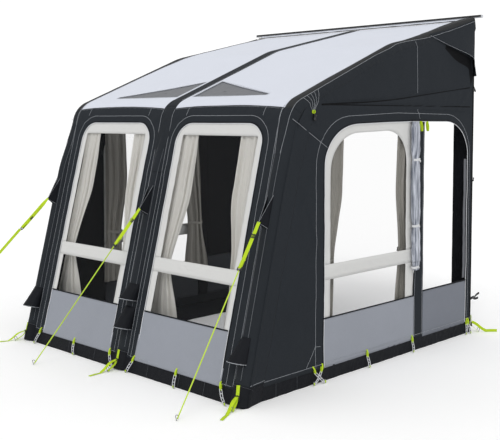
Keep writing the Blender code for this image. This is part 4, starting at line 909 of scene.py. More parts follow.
for name, sign in sides.items():
    way, onWall = (sign, 0, 0), ["side_wall_" + name]
    grid, strip = between(arch, rim, 60), sideGrid(s["stripFront"], s["doorFront"], bottom, s["openTop"] + 0.026)
    parts = [sheetPart(sidePoint(sign, grid), way, grid), sheetPart(sidePoint(sign, strip, -0.0045), way, strip)]
    # the wall's back is painted shade, near black
    clothPiece("sideWall_" + name, parts, wallCloth, [f"{name}_beam_sleeve", "rear_pad_" + name],
               thick=0.0035, inner=wallInside, stands="side_wall_" + name)
    sheets = [sheetPart(sidePoint(sign, grid, 0.0016 * gridRipples(grid, 73, 0.10, 2.5) - 0.0042), way, grid)
              for grid in frameGrids]
    clothPiece("sideWindowFrame_" + name, sheets, frameCloth, onWall, thick=0.002, stands="side_window_frame_" + name)
    panes = []
    for z0, z1 in paneSpans(s):
        grid = sideGrid(s["clearFront"] - trim["paneLap"], s["clearRear"] + trim["paneLap"], z0, z1, 0.03)
        panes.append(sheetPart(sideAt(sign, grid, 0.0025 * gridRipples(grid, 74, 0.30) - 0.0075), way, grid))
    piece("sideFilm_" + name, panes, clearFilm, stands="side_film_" + name)
    grid = sideGrid(s["openFront"] - 0.004, s["stripFront"] + 0.003, bottom, s["mudTop"])
    y, z = grid[..., 0], grid[..., 1]
    flare = 0.0030 * ripples(y + 0.5 * z, z * 0.4, 75, 0.25) * hump((z - bottom) / (s["mudTop"] - bottom)) ** 0.5
    # the mudwall's back is painted shade
    clothPiece("sideMudwall_" + name, [sheetPart(sideAt(sign, grid, flare - 0.0015), way, grid)], mudCloth, onWall,
               thick=0.003, inner=mudInsideShaded, stands="side_mudwall_" + name)

    # lower door flap, hinged at its own joint
    doorBody = "door_mudwall_" + name
    grid = sideGrid(s["doorFront"] - 0.003, s["doorRear"] - 0.002, bottom + 0.002, s["doorMudTop"])
    share = np.clip((grid[..., 1] - bottom) / (s["doorMudTop"] - bottom), 0, 1)
    wavy = 0.0030 * gridRipples(grid, 76, 0.22, 1.0, 0.5) * share
    # the door mudwall is painted darker for the shade by the doorway, and its back is painted shade
    clothPiece("doorMudwall_" + name, [sheetPart(sideAt(sign, grid, wavy - 0.0015), way, grid)], shadedDoorMudCloth, onWall,
               body=doorBody, thick=0.003, inner=mudInsideShaded, stands=doorBody)

    # zip tape, piping and sewn lines
    edge = sewnPoints(arch)
    flatWay = np.cross(np.gradient(sidePoint(sign, edge), axis=0), way)
    wallTape.append(sweep(sidePoint(sign, edge, trim["zipLift"]), strap(*trim["zip"]), flatWay))
    inner = trim["pipingIn"]
    inside = archLine(s["openFront"] + inner, s["openRear"] - inner, bottom + 0.01, s["openTop"] - inner,
                      openRadii - inner, s["counts"])
    wallPiping.append(sweep(sidePoint(sign, sewnPoints(bowed(inside, s["topBow"])), 0.0010), circle(*trim["piping"]), way))
    for lines, lift in ((sewn, trim["sewn"]), (sewnOnStrip, -0.0040)):
        for line in lines:
            seam(wallSeams, sidePoint(sign, sewnPoints(line), lift), normal=way)
    # each crease is a narrow near-black strip on the wall: a painted shadow line; the wider strip after them is a dark
    # binding along the rear edge
    for line in s["creaseLines"]:
        seam(creaseLines, sidePoint(sign, sewnPoints(smoothLine(line)), 0.0006), width=0.009, normal=way)
    seam(creaseLines, sidePoint(sign, sewnPoints([(2.650, 0.13), (2.650, 2.44)]), 0.0006), width=0.020, normal=way)
    binding = evenly([(s["openFront"], s["mudTop"]), (s["stripFront"], s["mudTop"])])
    wallTape.append(sweep(sideAt(sign, binding, 0.0008), strap(*trim["binding"]), (0, 0, 1)))
    hem = evenly([(s["doorFront"] - 0.003, s["doorMudTop"]), (s["doorRear"] - 0.002, s["doorMudTop"])])
    hem = sweep(sideAt(sign, hem, -0.0004), strap(0.010, 0.0055), (0, 0, 1))
    piece("doorMudwallHem_" + name, [hem], skirtCloth, body=doorBody)

# cloth from the corner beams' outer sides back to the walls, so that no groove shows between them
cornerWall, cornerSkirt = [], []
for name, sign in sides.items():
    for parts, first, last, count, radius in ((cornerWall, 0.112, eaveStart - 0.02, 80, 0.0612),
                                              (cornerSkirt, 0.0, 0.125, 14, 0.0650)):
        isWall = parts is cornerWall
        run = np.linspace(first, last, count)
        onTube = onBeam(name, run, np.full(count, sign * 1.40), radius + (0 if isWall else 0.003) * (1 - run / last))
        onTube[:, 2] = np.maximum(onTube[:, 2], 0.0006)
        y, z = onTube[:, 1] - footLine + 0.150, onTube[:, 2]
        onWall = sideSkin(sign, y, z, (sideRelief(y, z) if isWall else 0) + 0.0003)
        cloth = along(onTube[:, None, :], onWall[:, None, :], np.linspace(0, 1, 12)[None, :, None])
        parts.append(sheetPart(cloth, (sign, 0, 0)))
        if isWall:
            seam(wallSeams, cloth[1] + (sign * 0.0006, 0, 0.004), normal=(sign, 0, 0))
clothPiece("cornerWallCloth", cornerWall, wallCloth, ["left_beam_sleeve", "right_beam_sleeve"], thick=0.001)
clothPiece("cornerSkirtCloth", cornerSkirt, skirtCloth, ["left_beam_sleeve", "right_beam_sleeve"], held="hung", thick=0.001)
piece("wallSeams", wallSeams, lightThread)
piece("wallPiping", wallPiping, whitePiping)
# painted shadow lines of the creases, and the dark rear edge binding
piece("wallCreaseShadowsAndEdge", creaseLines, wallInside)
piece("wallZipTape", wallTape, skirtCloth)

# Left door closed: a dark panel above its mudwall
grid = sideGrid(side["doorFront"] - 0.003, side["doorRear"] - 0.002, side["doorMudTop"] + 0.001, side["openTop"] + 0.024)
panel = sheetPart(sidePoint(-1, grid, -0.0044 + 0.0025 * gridRipples(grid, 77, 0.2)), (-1, 0, 0), grid)
# the door panel's back is painted shade, near black
clothPiece("doorPanelLeft", [panel], skirtCloth, ["side_wall_left"],
           thick=0.002, inner=wallInside, stands="door_panel_left")

# Right door rolled sideways into an oval column and tied to the wall
roll = {
    "y": 1.810,
    "lean": 0.022,
    "out": 0.0227,
    "bottom": 0.630,
    "length": 1.090,
    "half": (0.050, 0.021),
    "turns": 2.6,
    "layer": 0.0024,
    "ties": (0.640, 0.950, 1.440),
    "tieWidth": 0.018,
}
top = roll["bottom"] + roll["length"]
lastTurn = roll["turns"] * 2 * math.pi
z, turn = np.meshgrid(np.linspace(roll["bottom"], top, 110), np.linspace(0, lastTurn, 150), indexing="ij")
# share of the oval at a turn of the spiral: tied places are drawn in, the rest bulges in long soft folds
layer = 1 - roll["layer"] * 22 * (roll["turns"] - turn / (2 * math.pi))
waist = sum(np.exp(-(((z - tie) / 0.035) ** 2)) for tie in roll["ties"])
folds = 0.08 * np.sin(turn * 3 + z * 2.0) + 0.06 * np.sin(turn * 7 - z * 5.0) + 0.09 * ripples(turn * 0.04, z, 81, 0.09)
share = layer * (1 - 0.24 * waist) * (1 + folds * (1 - 0.6 * waist)) * 0.96
share = share * (1 - 0.22 * smoothStep((z - top + 0.05) / 0.05))
y = roll["y"] + roll["half"][0] * share * np.cos(turn) + roll["lean"] * (1.15 - z)
foot = 0.012 * np.sin(turn * 0.5 + 0.4) * (z < roll["bottom"] + 0.05)
rolled = sideSkin(1, y, z + foot, roll["out"] + roll["half"][1] * share * np.sin(turn) + 0.0005)
clothPiece("rolledDoor", [sheetPart(rolled)], rollFilm, ["side_wall_right"], held="folded",
           thick=0.0012, stands="door_roll_right")
# the translucent selvedge left at the doorway's rear edge
grid = sideGrid(2.532, 2.576, 0.46, 1.42, 0.012)
selvedge = sheetPart(sidePoint(1, grid, -0.006 + 0.0016 * gridRipples(grid, 78, 0.08, 2)), (1, 0, 0), grid)
clothPiece("doorwaySelvedge", [selvedge], skylightFilm, ["side_wall_right"], thick=0.001)
ties, ring = [], turns(48)
for height in roll["ties"]:
    # webbing round the roll, its crossed ends sewn flat to the strip
    loop = sideSkin(1, roll["y"] + (roll["half"][0] * 0.80 + 0.002) * np.cos(ring), height + 0.002 * np.sin(ring * 2),
                    roll["out"] + (roll["half"][1] * 0.80 + 0.0015) * np.sin(ring))
    ties.append(sweep(loop, strap(roll["tieWidth"], 0.0018), (0, 0, 1), closed=True))
    end = np.array(((0.030, 0.0), (0.060, -0.004), (0.075, -0.020))) + (roll["y"], height)
    end = sideAt(1, end, np.array([0.022, 0.012, 0.010]))
    ties.append(sweep(smoothLine(end, 5), strap(roll["tieWidth"] * 0.9, 0.0018), (0, 0.3, 1)))
piece("rollTies", ties, whiteTape)
print("side walls made")

# Roof: two pale panels with grey skylights, a dark band down the middle and dark corners round the beams
roof = {
    "bandHalf": 0.054,
    "bandFoot": 0.064,
    "bandStart": 1.400,
    "skylight": ((0.090, 0.155), (0.090, 0.470), (0.872, 0.155)),
    "skylightRadius": 0.014,
    "split": 0.45,
    "lowerLength": 0.640,
    "wrapStart": 1.560,
    "sag": 0.005,
    "stitchTurn": ((0.385, 0.32), (0.455, 0.60), (1.35, 0.62), (1.52, 0.80), (1.62, 0.66), (1.72, 0.72),
                   (1.90, 1.06), (2.10, 1.39), (2.25, 1.54), (2.42, 1.555), (2.70, 1.50)),
    "paleEdge": ((0.0, 1.110), (0.90, 1.120), (1.10, 1.132), (1.34, 1.140), (1.50, 1.144), (1.70, 1.160), (1.80, 1.157),
                 (2.00, 1.137), (2.20, 1.135), (2.40, 1.125), (2.50, 1.116), (2.60, 1.095), (2.67, 1.080)),
    "leftInset": ((0.90, 0.020), (1.34, 0.050), (1.59, 0.095), (1.80, 0.049), (2.30, 0.0)),
    "sharp": (1.55, 2.40),
    "ear": ((1.95, 0.0), (2.08, 0.004), (2.25, 0.016), (2.45, 0.023), (2.66, 0.024)),
}
eaveAt, roofLine, bandHalf = math.hypot(*awning["eave"]), front["roofLine"], roof["bandHalf"]


def roofCurve(key, s):
    # a roof setting that changes with the distance back from the foot line, at distance s along the profile
    return np.interp(yAt(s), *np.array(roof[key]).T)


def earAt(sign, s):
    # the right corner is pulled up to the rail, more and more towards the rear
    return np.where(sign > 0, roofCurve("ear", s), 0)


def paleAt(sign, s):
    # how far across the pale panel reaches; the left one stops sooner
    return roofCurve("paleEdge", s) - (roofCurve("leftInset", s) if sign < 0 else 0)


def stitchAt(s):
    # the gable stitch goes on from the outer line on the beam and drifts down the corner towards the rear
    return beamAxis("right", s)[0] + cornerHalf * roofCurve("stitchTurn", s)


def outerEnd(sign, s):
    return beamAxis("right", s)[0] + cornerHalf * math.pi / 2 + 0.006 + earAt(sign, s)


def roofPoint(sign, u, s, n=0.0):
    # section of the roof: flat, then round the beam; u is the distance across from the middle.
    # Over the eave the arc follows the sinking beam, and towards the rear it turns into a sharp corner
    s = np.asarray(s, float)
    x0, inwards = beamAxis("right", s)
    turn = np.clip((u - x0) / cornerHalf, 0, math.pi / 2)
    power = 1 - 0.72 * smoothStep((yAt(s) - roof["sharp"][0]) / (roof["sharp"][1] - roof["sharp"][0]))
    x = np.minimum(u, x0) + (cornerHalf + n) * np.sin(turn) ** power
    arc = inwards - (cornerDepth + n) * np.cos(turn) ** power
    flat = np.maximum(u, x0 - cornerHalf)
    crown = inwards - np.sqrt(np.maximum(cornerHalf**2 - (flat - x0) ** 2, 0)) * cornerDepth / cornerHalf
    drop = np.where(u > x0, arc, np.minimum(-n, crown - n))
    ear = earAt(sign, s) * smoothStep((u - 0.95) / 0.2)
    over = np.maximum(u - x0 - cornerHalf * math.pi / 2, 0)
    return skin(sign * x, s, ear - drop - over)


def onRoof(sign, line, n=0.0):
    # the cloth hangs a little between the beams and has faint long waves
    u, s = line[..., 0], line[..., 1]
    bay = hump(u / awning["roofBeamX"])
    run = np.clip((s - eaveEnd) / 0.25, 0, 1) * np.clip((roofEnd - s) / 0.1, 0, 1)
    return roofPoint(sign, u, s, (0.0025 * ripples(u, s, 91, 0.5) - roof["sag"]) * bay * run + n)


def spanned(s, start, end, columns):
    # grid of points across from start to end, a row for each s
    return np.stack(np.broadcast_arrays(along(start, end, np.linspace(0, 1, columns)[None, :]), s), -1)


def cornerPart(sign, s, start, end, columns=24):
    # stretch of the roof's corner between two lines across; its lower end dives under the sleeve
    grid = spanned(s, start, end, columns)
    taut = 0.0010 * gridRipples(grid, 92, 0.12, 3) - 0.0045 * (1 - smoothStep((grid[..., 1] - roof["wrapStart"]) / 0.08))
    return sheetPart(roofPoint(sign, grid[..., 0], grid[..., 1], taut), (sign, -0.3, 1), grid)


roofSeams, corners, sleeveCorners = [], [], []
topRow = roof["lowerLength"] + eaveAt
# the skylight's outline, from a place on its lower edge round its corners
a, b, c = (np.array((x, eaveAt + up)) for x, up in roof["skylight"])
base, tip = along(a, c, roof["split"]), filletArc(b, c, a, roof["skylightRadius"])
hole = stretches(([base, a], 24), ([a, b], 20), ([b, tip[0]], 50), (tip, 20), ([tip[-1], base], 28))
middle = a * 0.4 + b * 0.3 + c * 0.3
holeEdge = evenly(np.concatenate([hole, hole[:1]]), 0.010)[:-1]
holeHem = evenly(hole + unit(hole - middle) * 0.014, 0.010)
pane = between(middle + (hole - middle) * 0.02, hole + (hole - middle) * 0.02, 12)
for name, sign in sides.items():
    # lower stretch round the skylight, matched side by side; upper stretch plain
    across = np.linspace(bandHalf, paleAt(sign, roofLine), 80)
    low, split = np.stack([across, roofEdgeLine(across)], 1), int(roof["split"] * 80)
    rise = np.linspace(topRow, roofLine, 40)
    outer, innerTop = np.stack([paleAt(sign, rise), rise], 1), (bandHalf, topRow)
    ring = stretches((low[split::-1], 24), ([low[0], innerTop], 20), ([innerTop, outer[0]], 50), (outer, 20),
                     (low[:split - 1:-1], 28))
    s = np.linspace(topRow, roofEnd - 0.001, 60)[:, None]
    grids = between(hole, ring, 14), spanned(s, bandHalf, paleAt(sign, s), 50)
    parts = [sheetPart(onRoof(sign, grid), roofWay, grid * (sign, 1)) for grid in grids]
    clothPiece("roofPanel_" + name, parts, roofCloth, [f"{name}_beam_sleeve", "centre_beam_sleeve"],
               thick=0.003, weld=True, stands="roof_panel_" + name)

    # skylight: grey film a little below the roof cloth, gathered to the middle of its outline
    film = sheetPart(onRoof(sign, pane, -0.0035), roofWay, pane * (sign, 1))
    clothPiece("skylight_" + name, [film], skylightFilm, ["roof_panel_" + name], thick=0.001, stands="skylight_" + name)
    seam(roofSeams, onRoof(sign, holeEdge, trim["sewn"]), width=0.0030, normal=roofWay)
    seam(roofSeams, onRoof(sign, holeHem, trim["sewn"]), width=0.0016, normal=roofWay)

    # dark corner: a band from the pale panel to the gable stitch, wall cloth below the stitch and over the eave
    s = np.linspace(roofLine, roofEnd - 0.001, 150)[:, None]
    corners.append(cornerPart(sign, s, paleAt(sign, s), stitchAt(s)))
    sleeveCorners.append(cornerPart(sign, s, stitchAt(s), outerEnd(sign, s), 12))
    s = np.linspace(roof["wrapStart"], roofLine, 40)[:, None]
    sleeveCorners.append(cornerPart(sign, s, front["cornerEdge"] - 0.012, outerEnd(sign, s)))
    s = np.linspace(roofLine + 0.01, roofEnd - 0.01, 160)
    seam(roofSeams, roofPoint(sign, paleAt(sign, s), s, 0.0006), width=0.0018, normal=roofWay)
    s = np.linspace(roof["wrapStart"] + 0.01, roofEnd - 0.01, 170)
    overFlap = 0.0012 + 0.005 * smoothStep((yAt(s) - 2.0) / 0.1)
    seam(roofSeams, roofPoint(sign, stitchAt(s), s, overFlap), normal=(sign * 0.7, 0, 0.7))
    s = np.linspace(roof["wrapStart"] + 0.01, roofLine + 0.02, 40)
    seam(roofSeams, roofPoint(sign, beamAxis("right", s)[0] - cornerHalf * 0.62, s, 0.0012))
    u = np.linspace(front["edge"] + 0.02, front["cornerEdge"], 60)
    seam(roofSeams, roofPoint(sign, u, roofEdgeLine(u) - 0.010, 0.0006), width=0.0022, normal=roofWay)

# band over the centre beam, which it follows down as the beam comes forward over the eave
for name, first, last, rows in (("roofBand", roofLine + 0.02, roofEnd - 0.001, 130),
                                ("eaveBand", roof["bandStart"], roofLine + 0.02, 50)):
    s = np.linspace(first, last, rows)[:, None]
    half = bandHalf + (roof["bandFoot"] - bandHalf) * smoothStep((2.05 - s) / 0.25)
    grid = spanned(s, -half, half, 21)
    crown = np.sqrt(np.maximum((awning["beamRadius"] + 0.0012) ** 2 - grid[..., 0] ** 2, 0)) - beamAxis("centre", s)[1]
    band = skinAt(grid, np.maximum(crown, 0.0006) + 0.0006 * gridRipples(grid, 93, 0.14, 3))
    clothPiece(name, [sheetPart(band, roofWay, grid)], sleeveCloth, ["centre_beam_sleeve"], thick=0.0025)
clothPiece("roofCorners", corners, bandCloth, ["right_beam_sleeve", "left_beam_sleeve"], thick=0.002)
clothPiece("eaveCorners", sleeveCorners, sleeveCloth, ["right_beam_sleeve", "left_beam_sleeve"], thick=0.002)
for sign in sides.values():
    line = np.linspace(roofLine + 0.10, roofEnd - 0.01, 160)
    seam(roofSeams, skin(sign * (bandHalf - 0.006), line, 0.0018), width=0.0020, normal=roofWay)
piece("roofSeams", roofSeams, lightThread)
print("roof made")

# Ground skirt: black cloth from the walls down to the ground, cuffs round the beam feet and flat flaps inside
skirt = {
    "top": 0.092,
    "ground": 0.0006,
    "seamX": (0.30, 0.62, 0.86),
    "seamY": (0.30, 0.50),
    "cuffTop": 0.135,
    "cuffSide": 0.100,
    "cuffTurn": 2.3,
    "cuffRadius": 0.0634,
    "flapWidth": 0.440,
    "flapRun": (0.160, 2.630),
    "flapLift": 0.0016,
}
skirtParts, skirtSeams, flapParts = [], [], []


def skirtWaves(grid, seed, out):
    # soft folds that grow towards the ground
    low = 1 - grid[..., 1] / skirt["top"]
    return (out + 0.0050 * gridRipples(grid, seed, 0.20, 1, 0.5)) * low + 0.0015 * gridRipples(grid, seed + 1, 0.05)


def aboveGround(points):
    points[..., 2] = np.maximum(points[..., 2], skirt["ground"])
    return points


line = np.linspace(0.006, skirt["top"], 10)
for sign in sides.values():
    grid = gridOf(0.045, 1.115, 0.0, skirt["top"], 90, 10)
    points = skinAt(grid * (sign, 1), skirtWaves(grid, 101, 0.004) + 0.0010)
    skirtParts.append(sheetPart(aboveGround(points), frontWay, grid * (sign, 1)))
    for x in skirt["seamX"]:
        seam(skirtSeams, skin(sign * x, line, 0.0072), width=0.002)
    grid = sideGrid(0.100, depth - 0.001, skirt["ground"], skirt["top"], 0.011)
    skirtParts.append(sheetPart(sideAt(sign, grid, skirtWaves(grid, 103, 0.003) - 0.0022), (sign, 0, 0), grid))
    for y in skirt["seamY"]:
        seam(skirtSeams, sideSkin(sign, y, line, 0.0045), width=0.002, normal=(sign, 0, 0))
    # flap on the ground: coated black cloth with slow waves at its free edge; it is partly painted shade, standing for
    # the dark ground inside the wall
    y, x = np.meshgrid(np.linspace(*skirt["flapRun"], 110), np.linspace(0, skirt["flapWidth"], 22), indexing="ij")
    free = x / skirt["flapWidth"]
    waves = 0.010 * np.maximum(ripples(x, y, 105, 0.35), 0) + 0.002 * np.abs(ripples(x, y, 106, 0.1))
    lift = skirt["flapLift"] + waves * free
    edge = 0.012 * ripples(y, y * 0, 107, 0.3) * free
    flap = np.stack([sign * (awning["halfWidth"] - 0.004 - x - edge), y + footLine, lift], -1)
    flapParts.append(sheetPart(flap, (0, 0, 1), np.stack([x, y], -1)))
for name in beamX:
    cuffTurn = skirt["cuffTurn"]
    share, turn = np.meshgrid(np.linspace(0, 1, 16), np.linspace(-cuffTurn, cuffTurn, 60), indexing="ij")
    top = skirt["cuffSide"] + (skirt["cuffTop"] - skirt["cuffSide"]) * np.cos(turn / cuffTurn * math.pi / 2) ** 0.5
    s = share * top
    crumple = 0.0020 * ripples(turn * 0.06, s, 108, 0.05) * (1 - s / skirt["cuffTop"] * 0.6)
    cuff = onBeam(name, s, turn, skirt["cuffRadius"] + crumple + 0.004 * (1 - s / skirt["cuffTop"]) ** 2)
    skirtParts.append(sheetPart(aboveGround(cuff), frontWay, np.stack([turn * 0.064, s], -1)))
    seam(skirtSeams, onBeam(name, top[-1] - 0.006, turn[-1], skirt["cuffRadius"] + 0.0014), width=0.0022)
clothPiece("groundSkirt", skirtParts, skirtCloth, ["front_mudwall_left"], held="hung", thick=0.002, stands="ground_skirt")
clothPiece("groundFlaps", flapParts, skirtCloth, ["ground_skirt"], held="laid", thick=0.0012, offset=1.0)
piece("skirtSeams", skirtSeams, darkThread)
print("skirt made")

# Rear pads: padded black strips that press on the vehicle
pads = {"outer": 1.196, "width": 0.165, "thick": 0.030, "quilt": 0.240, "square": 0.28, "edge": 0.016}
for name, sign in sides.items():
    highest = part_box("rear_pad_" + name)[1][2]
    z, turn = np.linspace(0.0, 1.0, 150)[:, None], turns(48)[None, :]
    across, deep = signedPower(np.cos(turn), pads["square"]), signedPower(np.sin(turn), pads["square"])
    pinch = np.abs(np.sin(z * highest / pads["quilt"] * math.pi)) ** 0.35
    soft = np.clip(np.minimum(z, 1 - z) * highest / pads["edge"], 0, 1) ** 0.5
    thick = pads["thick"] / 2 * (1 - np.clip(-deep, 0, 1) * 0.30 * (1 - pinch)) * (0.35 + 0.65 * soft)
    half, core = pads["width"] / 2 - 0.0015, footLine + depth - pads["thick"] / 2
    shape = np.stack(np.broadcast_arrays(sign * (pads["outer"] - pads["width"] / 2 + across * half * (0.96 + 0.04 * soft)),
                                         core + deep * thick - 0.0004, 0.0006 + z * (highest - 0.0012)), -1)
    centre = np.stack(np.broadcast_arrays(sign * (pads["outer"] - half), core, z[:, 0] * highest), -1)
    pad = sheetPart(shape, centre, wrapColumns=True, caps=True)
    piece("rearPad_" + name, [pad], skirtCloth, stands="rear_pad_" + name)
print("rear pads made")

# Triangular flap at each side wall's rear top, proud of the wall with its free edge lifted
gableFlap = {
    "free": ((2.007, 2.362), (2.30, 2.290), (2.579, 2.227), (2.611, 2.169), (2.640, 2.080)),
    "sewn": ((2.007, 2.375), (2.30, 2.434), (2.655, 2.530), (2.658, 2.40), (2.658, 2.080)),
    "lift": 0.030,
    "flapShade": (0.03, 0.075),
    "flapShadeFrom": 12,
}
low, high = evenly(smoothLine(gableFlap["free"]), count=40), evenly(gableFlap["sewn"], count=40)
grid = between(low, high, 14)
reach = smoothStep((grid[..., 0] - 2.02) / 0.5)
lift = 0.0022 + gableFlap["lift"] * np.linspace(1, 0, 14)[:, None] ** 1.5 * reach + 0.0008 * gridRipples(grid, 111, 0.08)
# dark panel behind the flap, a little below its free edge: painted shadow under the lifted flap
flapShadeTop = low[gableFlap["flapShadeFrom"]:]
flapShade = between(flapShadeTop, flapShadeTop - reach[0, gableFlap["flapShadeFrom"]:, None] * gableFlap["flapShade"], 8)
flaps, flapLines, flapShades = [], [], []
for sign in sides.values():
    way = (sign, 0, 0)
    flaps.append(sheetPart(sideAt(sign, grid, lift), way, grid))
    seam(flapLines, sideAt(sign, low, lift[0] + 0.0008) + (0, 0, 0.003), width=0.0022, normal=way)
    flapShades.append(sheetPart(sidePoint(sign, flapShade, 0.0008), way, flapShade))
# painted shadow under each gable flap
clothPiece("gableFlapShades", flapShades, wallInside, ["side_wall_right"])
clothPiece("gableFlaps", flaps, wallCloth, ["side_wall_right"], thick=0.0015)
piece("gableFlapEdges", flapLines, lightThread)

# Guy point patch on each side wall: a sewn fan of light threads that ends in a lime loop and a black toggle
patch = {
    "knot": (0.655, 1.785),
    "tops": (0.600, 0.641, 0.675, 0.710, 0.751),
    "overCorner": 0.45,
    "loop": ((0.646, 1.797), (0.642, 1.782), (0.652, 1.774), (0.664, 1.782), (0.659, 1.797)),
    "hooks": ((1.870, 0.016), (1.975, 0.0)),
    "hook": ((0.0, 1.722), (-0.004, 1.690), (0.006, 1.648), (0.012, 1.684), (0.004, 1.720)),
    "hookOut": (0.002, 0.006, 0.008, 0.006, 0.002),
    "ties": ((0.135, 0.292, 8), (0.120, 0.268, 6)),
}
limeTrim, toggles, patchLines = [], [], []


def toggle(at, way, length=0.030, radius=0.006):
    # small barrel with waisted middle
    way, share = unit(way), np.linspace(0, 1, 9)
    line = at + way * (share - 0.5)[:, None] * length
    return sweep(line, circle(radius), np.cross(way, (0.3, 0.8, 0.5)), scale=1 - 0.35 * hump(share) ** 2)


gableS = np.linspace(eaveStart, roofEnd, 300)
gableRun = profileAt(gableS, cornerDepth)
knot, bend, at = np.array(patch["knot"]), np.linspace(0, 1, 14)[:, None], np.linspace(0, 1, 20)
for sign in sides.values():
    for top in patch["tops"]:
        # down from the gable stitch over the corner, then along the wall to the knot
        sewn, level = np.interp((top, knot[0]), gableRun[:, 0], gableS)
        s = along(sewn, level, np.linspace(0, patch["overCorner"], 8))
        turn = np.linspace(float(stitchAt(sewn)) - float(beamAxis("right", sewn)[0]), cornerHalf * 1.5, 8)
        overCorner = roofPoint(sign, beamAxis("right", s)[0] + turn, s, 0.0016)
        top = along(top, knot[0], patch["overCorner"])
        bent = along((top, np.interp(top, *gableRun.T) - 0.006), knot, bend) + hump(bend) * ((top - 0.665) * 0.08, 0)
        thread = evenly(np.concatenate([overCorner, sidePoint(sign, bent, 0.0016)]), 0.008)
        seam(patchLines, thread, width=0.0024, normal=(sign, 0, 0.3))
    loop = sideAt(sign, np.array(patch["loop"]), 0.005)
    limeTrim.append(sweep(smoothLine(loop, 5), strap(0.014, 0.0024), (sign, 0.1, 0)))
    toggles.append(toggle(sideSkin(sign, 0.656, 1.748, 0.012), (0, 0.2, 1), length=0.036, radius=0.012))
    toggles.append(sweep(sideSkin(sign, 0.655, np.linspace(1.776, 1.752, 5), 0.008), circle(0.0030, 6), (sign, 0, 0)))
    tab = sideSkin(sign, np.linspace(2.650, 2.684, 5), np.linspace(1.985, 1.960, 5), 0.002)
    toggles.append(sweep(tab, strap(0.034, 0.004), (0, 0.3, 1), scale=np.linspace(1.0, 0.5, 5)))
    toggles.append(toggle(sideSkin(sign, 2.668, 1.250, 0.003), (0, 0.2, 1)))
    # lime hooks that held the door up, and the wavy black tie behind the wall's foot
    for y, out in patch["hooks"]:
        hook = sideAt(sign, np.array(patch["hook"]) + (y, 0), out + np.array(patch["hookOut"]))
        limeTrim.append(sweep(smoothLine(hook, 5), strap(0.018, 0.0024), (sign, 0.2, 0)))
    for length, height, wave in patch["ties"]:
        z = along(0.270, height, at) + 0.009 * np.sin(at * wave)
        tie = sideSkin(sign, depth - 0.004 + length * at, z, 0.008 * np.sin(at * 7) - 0.004)
        toggles.append(sweep(tie, strap(0.020, 0.0028), (0.2, 0, 1)))
piece("guyPatchThreads", patchLines, lightThread)

# Curtains: pleated cloth, wide at the head, drawn in at the tie, open at the hem; each slides on its own track
curtains = {
    "widths": {"inner": (0.170, 0.085, 0.220), "outer": (0.170, 0.085, 0.220), "front": (0.212, 0.140, 0.120),
               "rear": (0.208, 0.150, 0.228)},
    "fixed": {"inner": 0.186, "outer": 0.947, "front": 0.778, "rear": 1.830},
    "frontHead": 1.7036,
    "sideHead": 1.6636,
    "tuck": 0.022,
    "hemTuck": {"inner": 0.030, "outer": 0.075, "front": 0.030, "rear": 0.030},
    "waistAt": 0.78,
    "hemAt": 0.36,
    "flare": 1.8,
    "folds": 3.2,
    "standOff": 0.0085,
    "lag": 0.025,
    "headDeep": 0.018,
    "deep": 0.030,
    "tieWidth": 0.022,
    "bow": (-0.18, 0.22),
    "tracks": ((0.19, 0.95), (0.79, 1.812)),
    "channel": ((-0.007, 0.0), (0.007, 0.0), (0.007, 0.024), (0.003, 0.024), (0.003, 0.021), (0.005, 0.021), (0.005, 0.003),
                (-0.005, 0.003), (-0.005, 0.021), (-0.003, 0.021), (-0.003, 0.024), (-0.007, 0.024)),
}


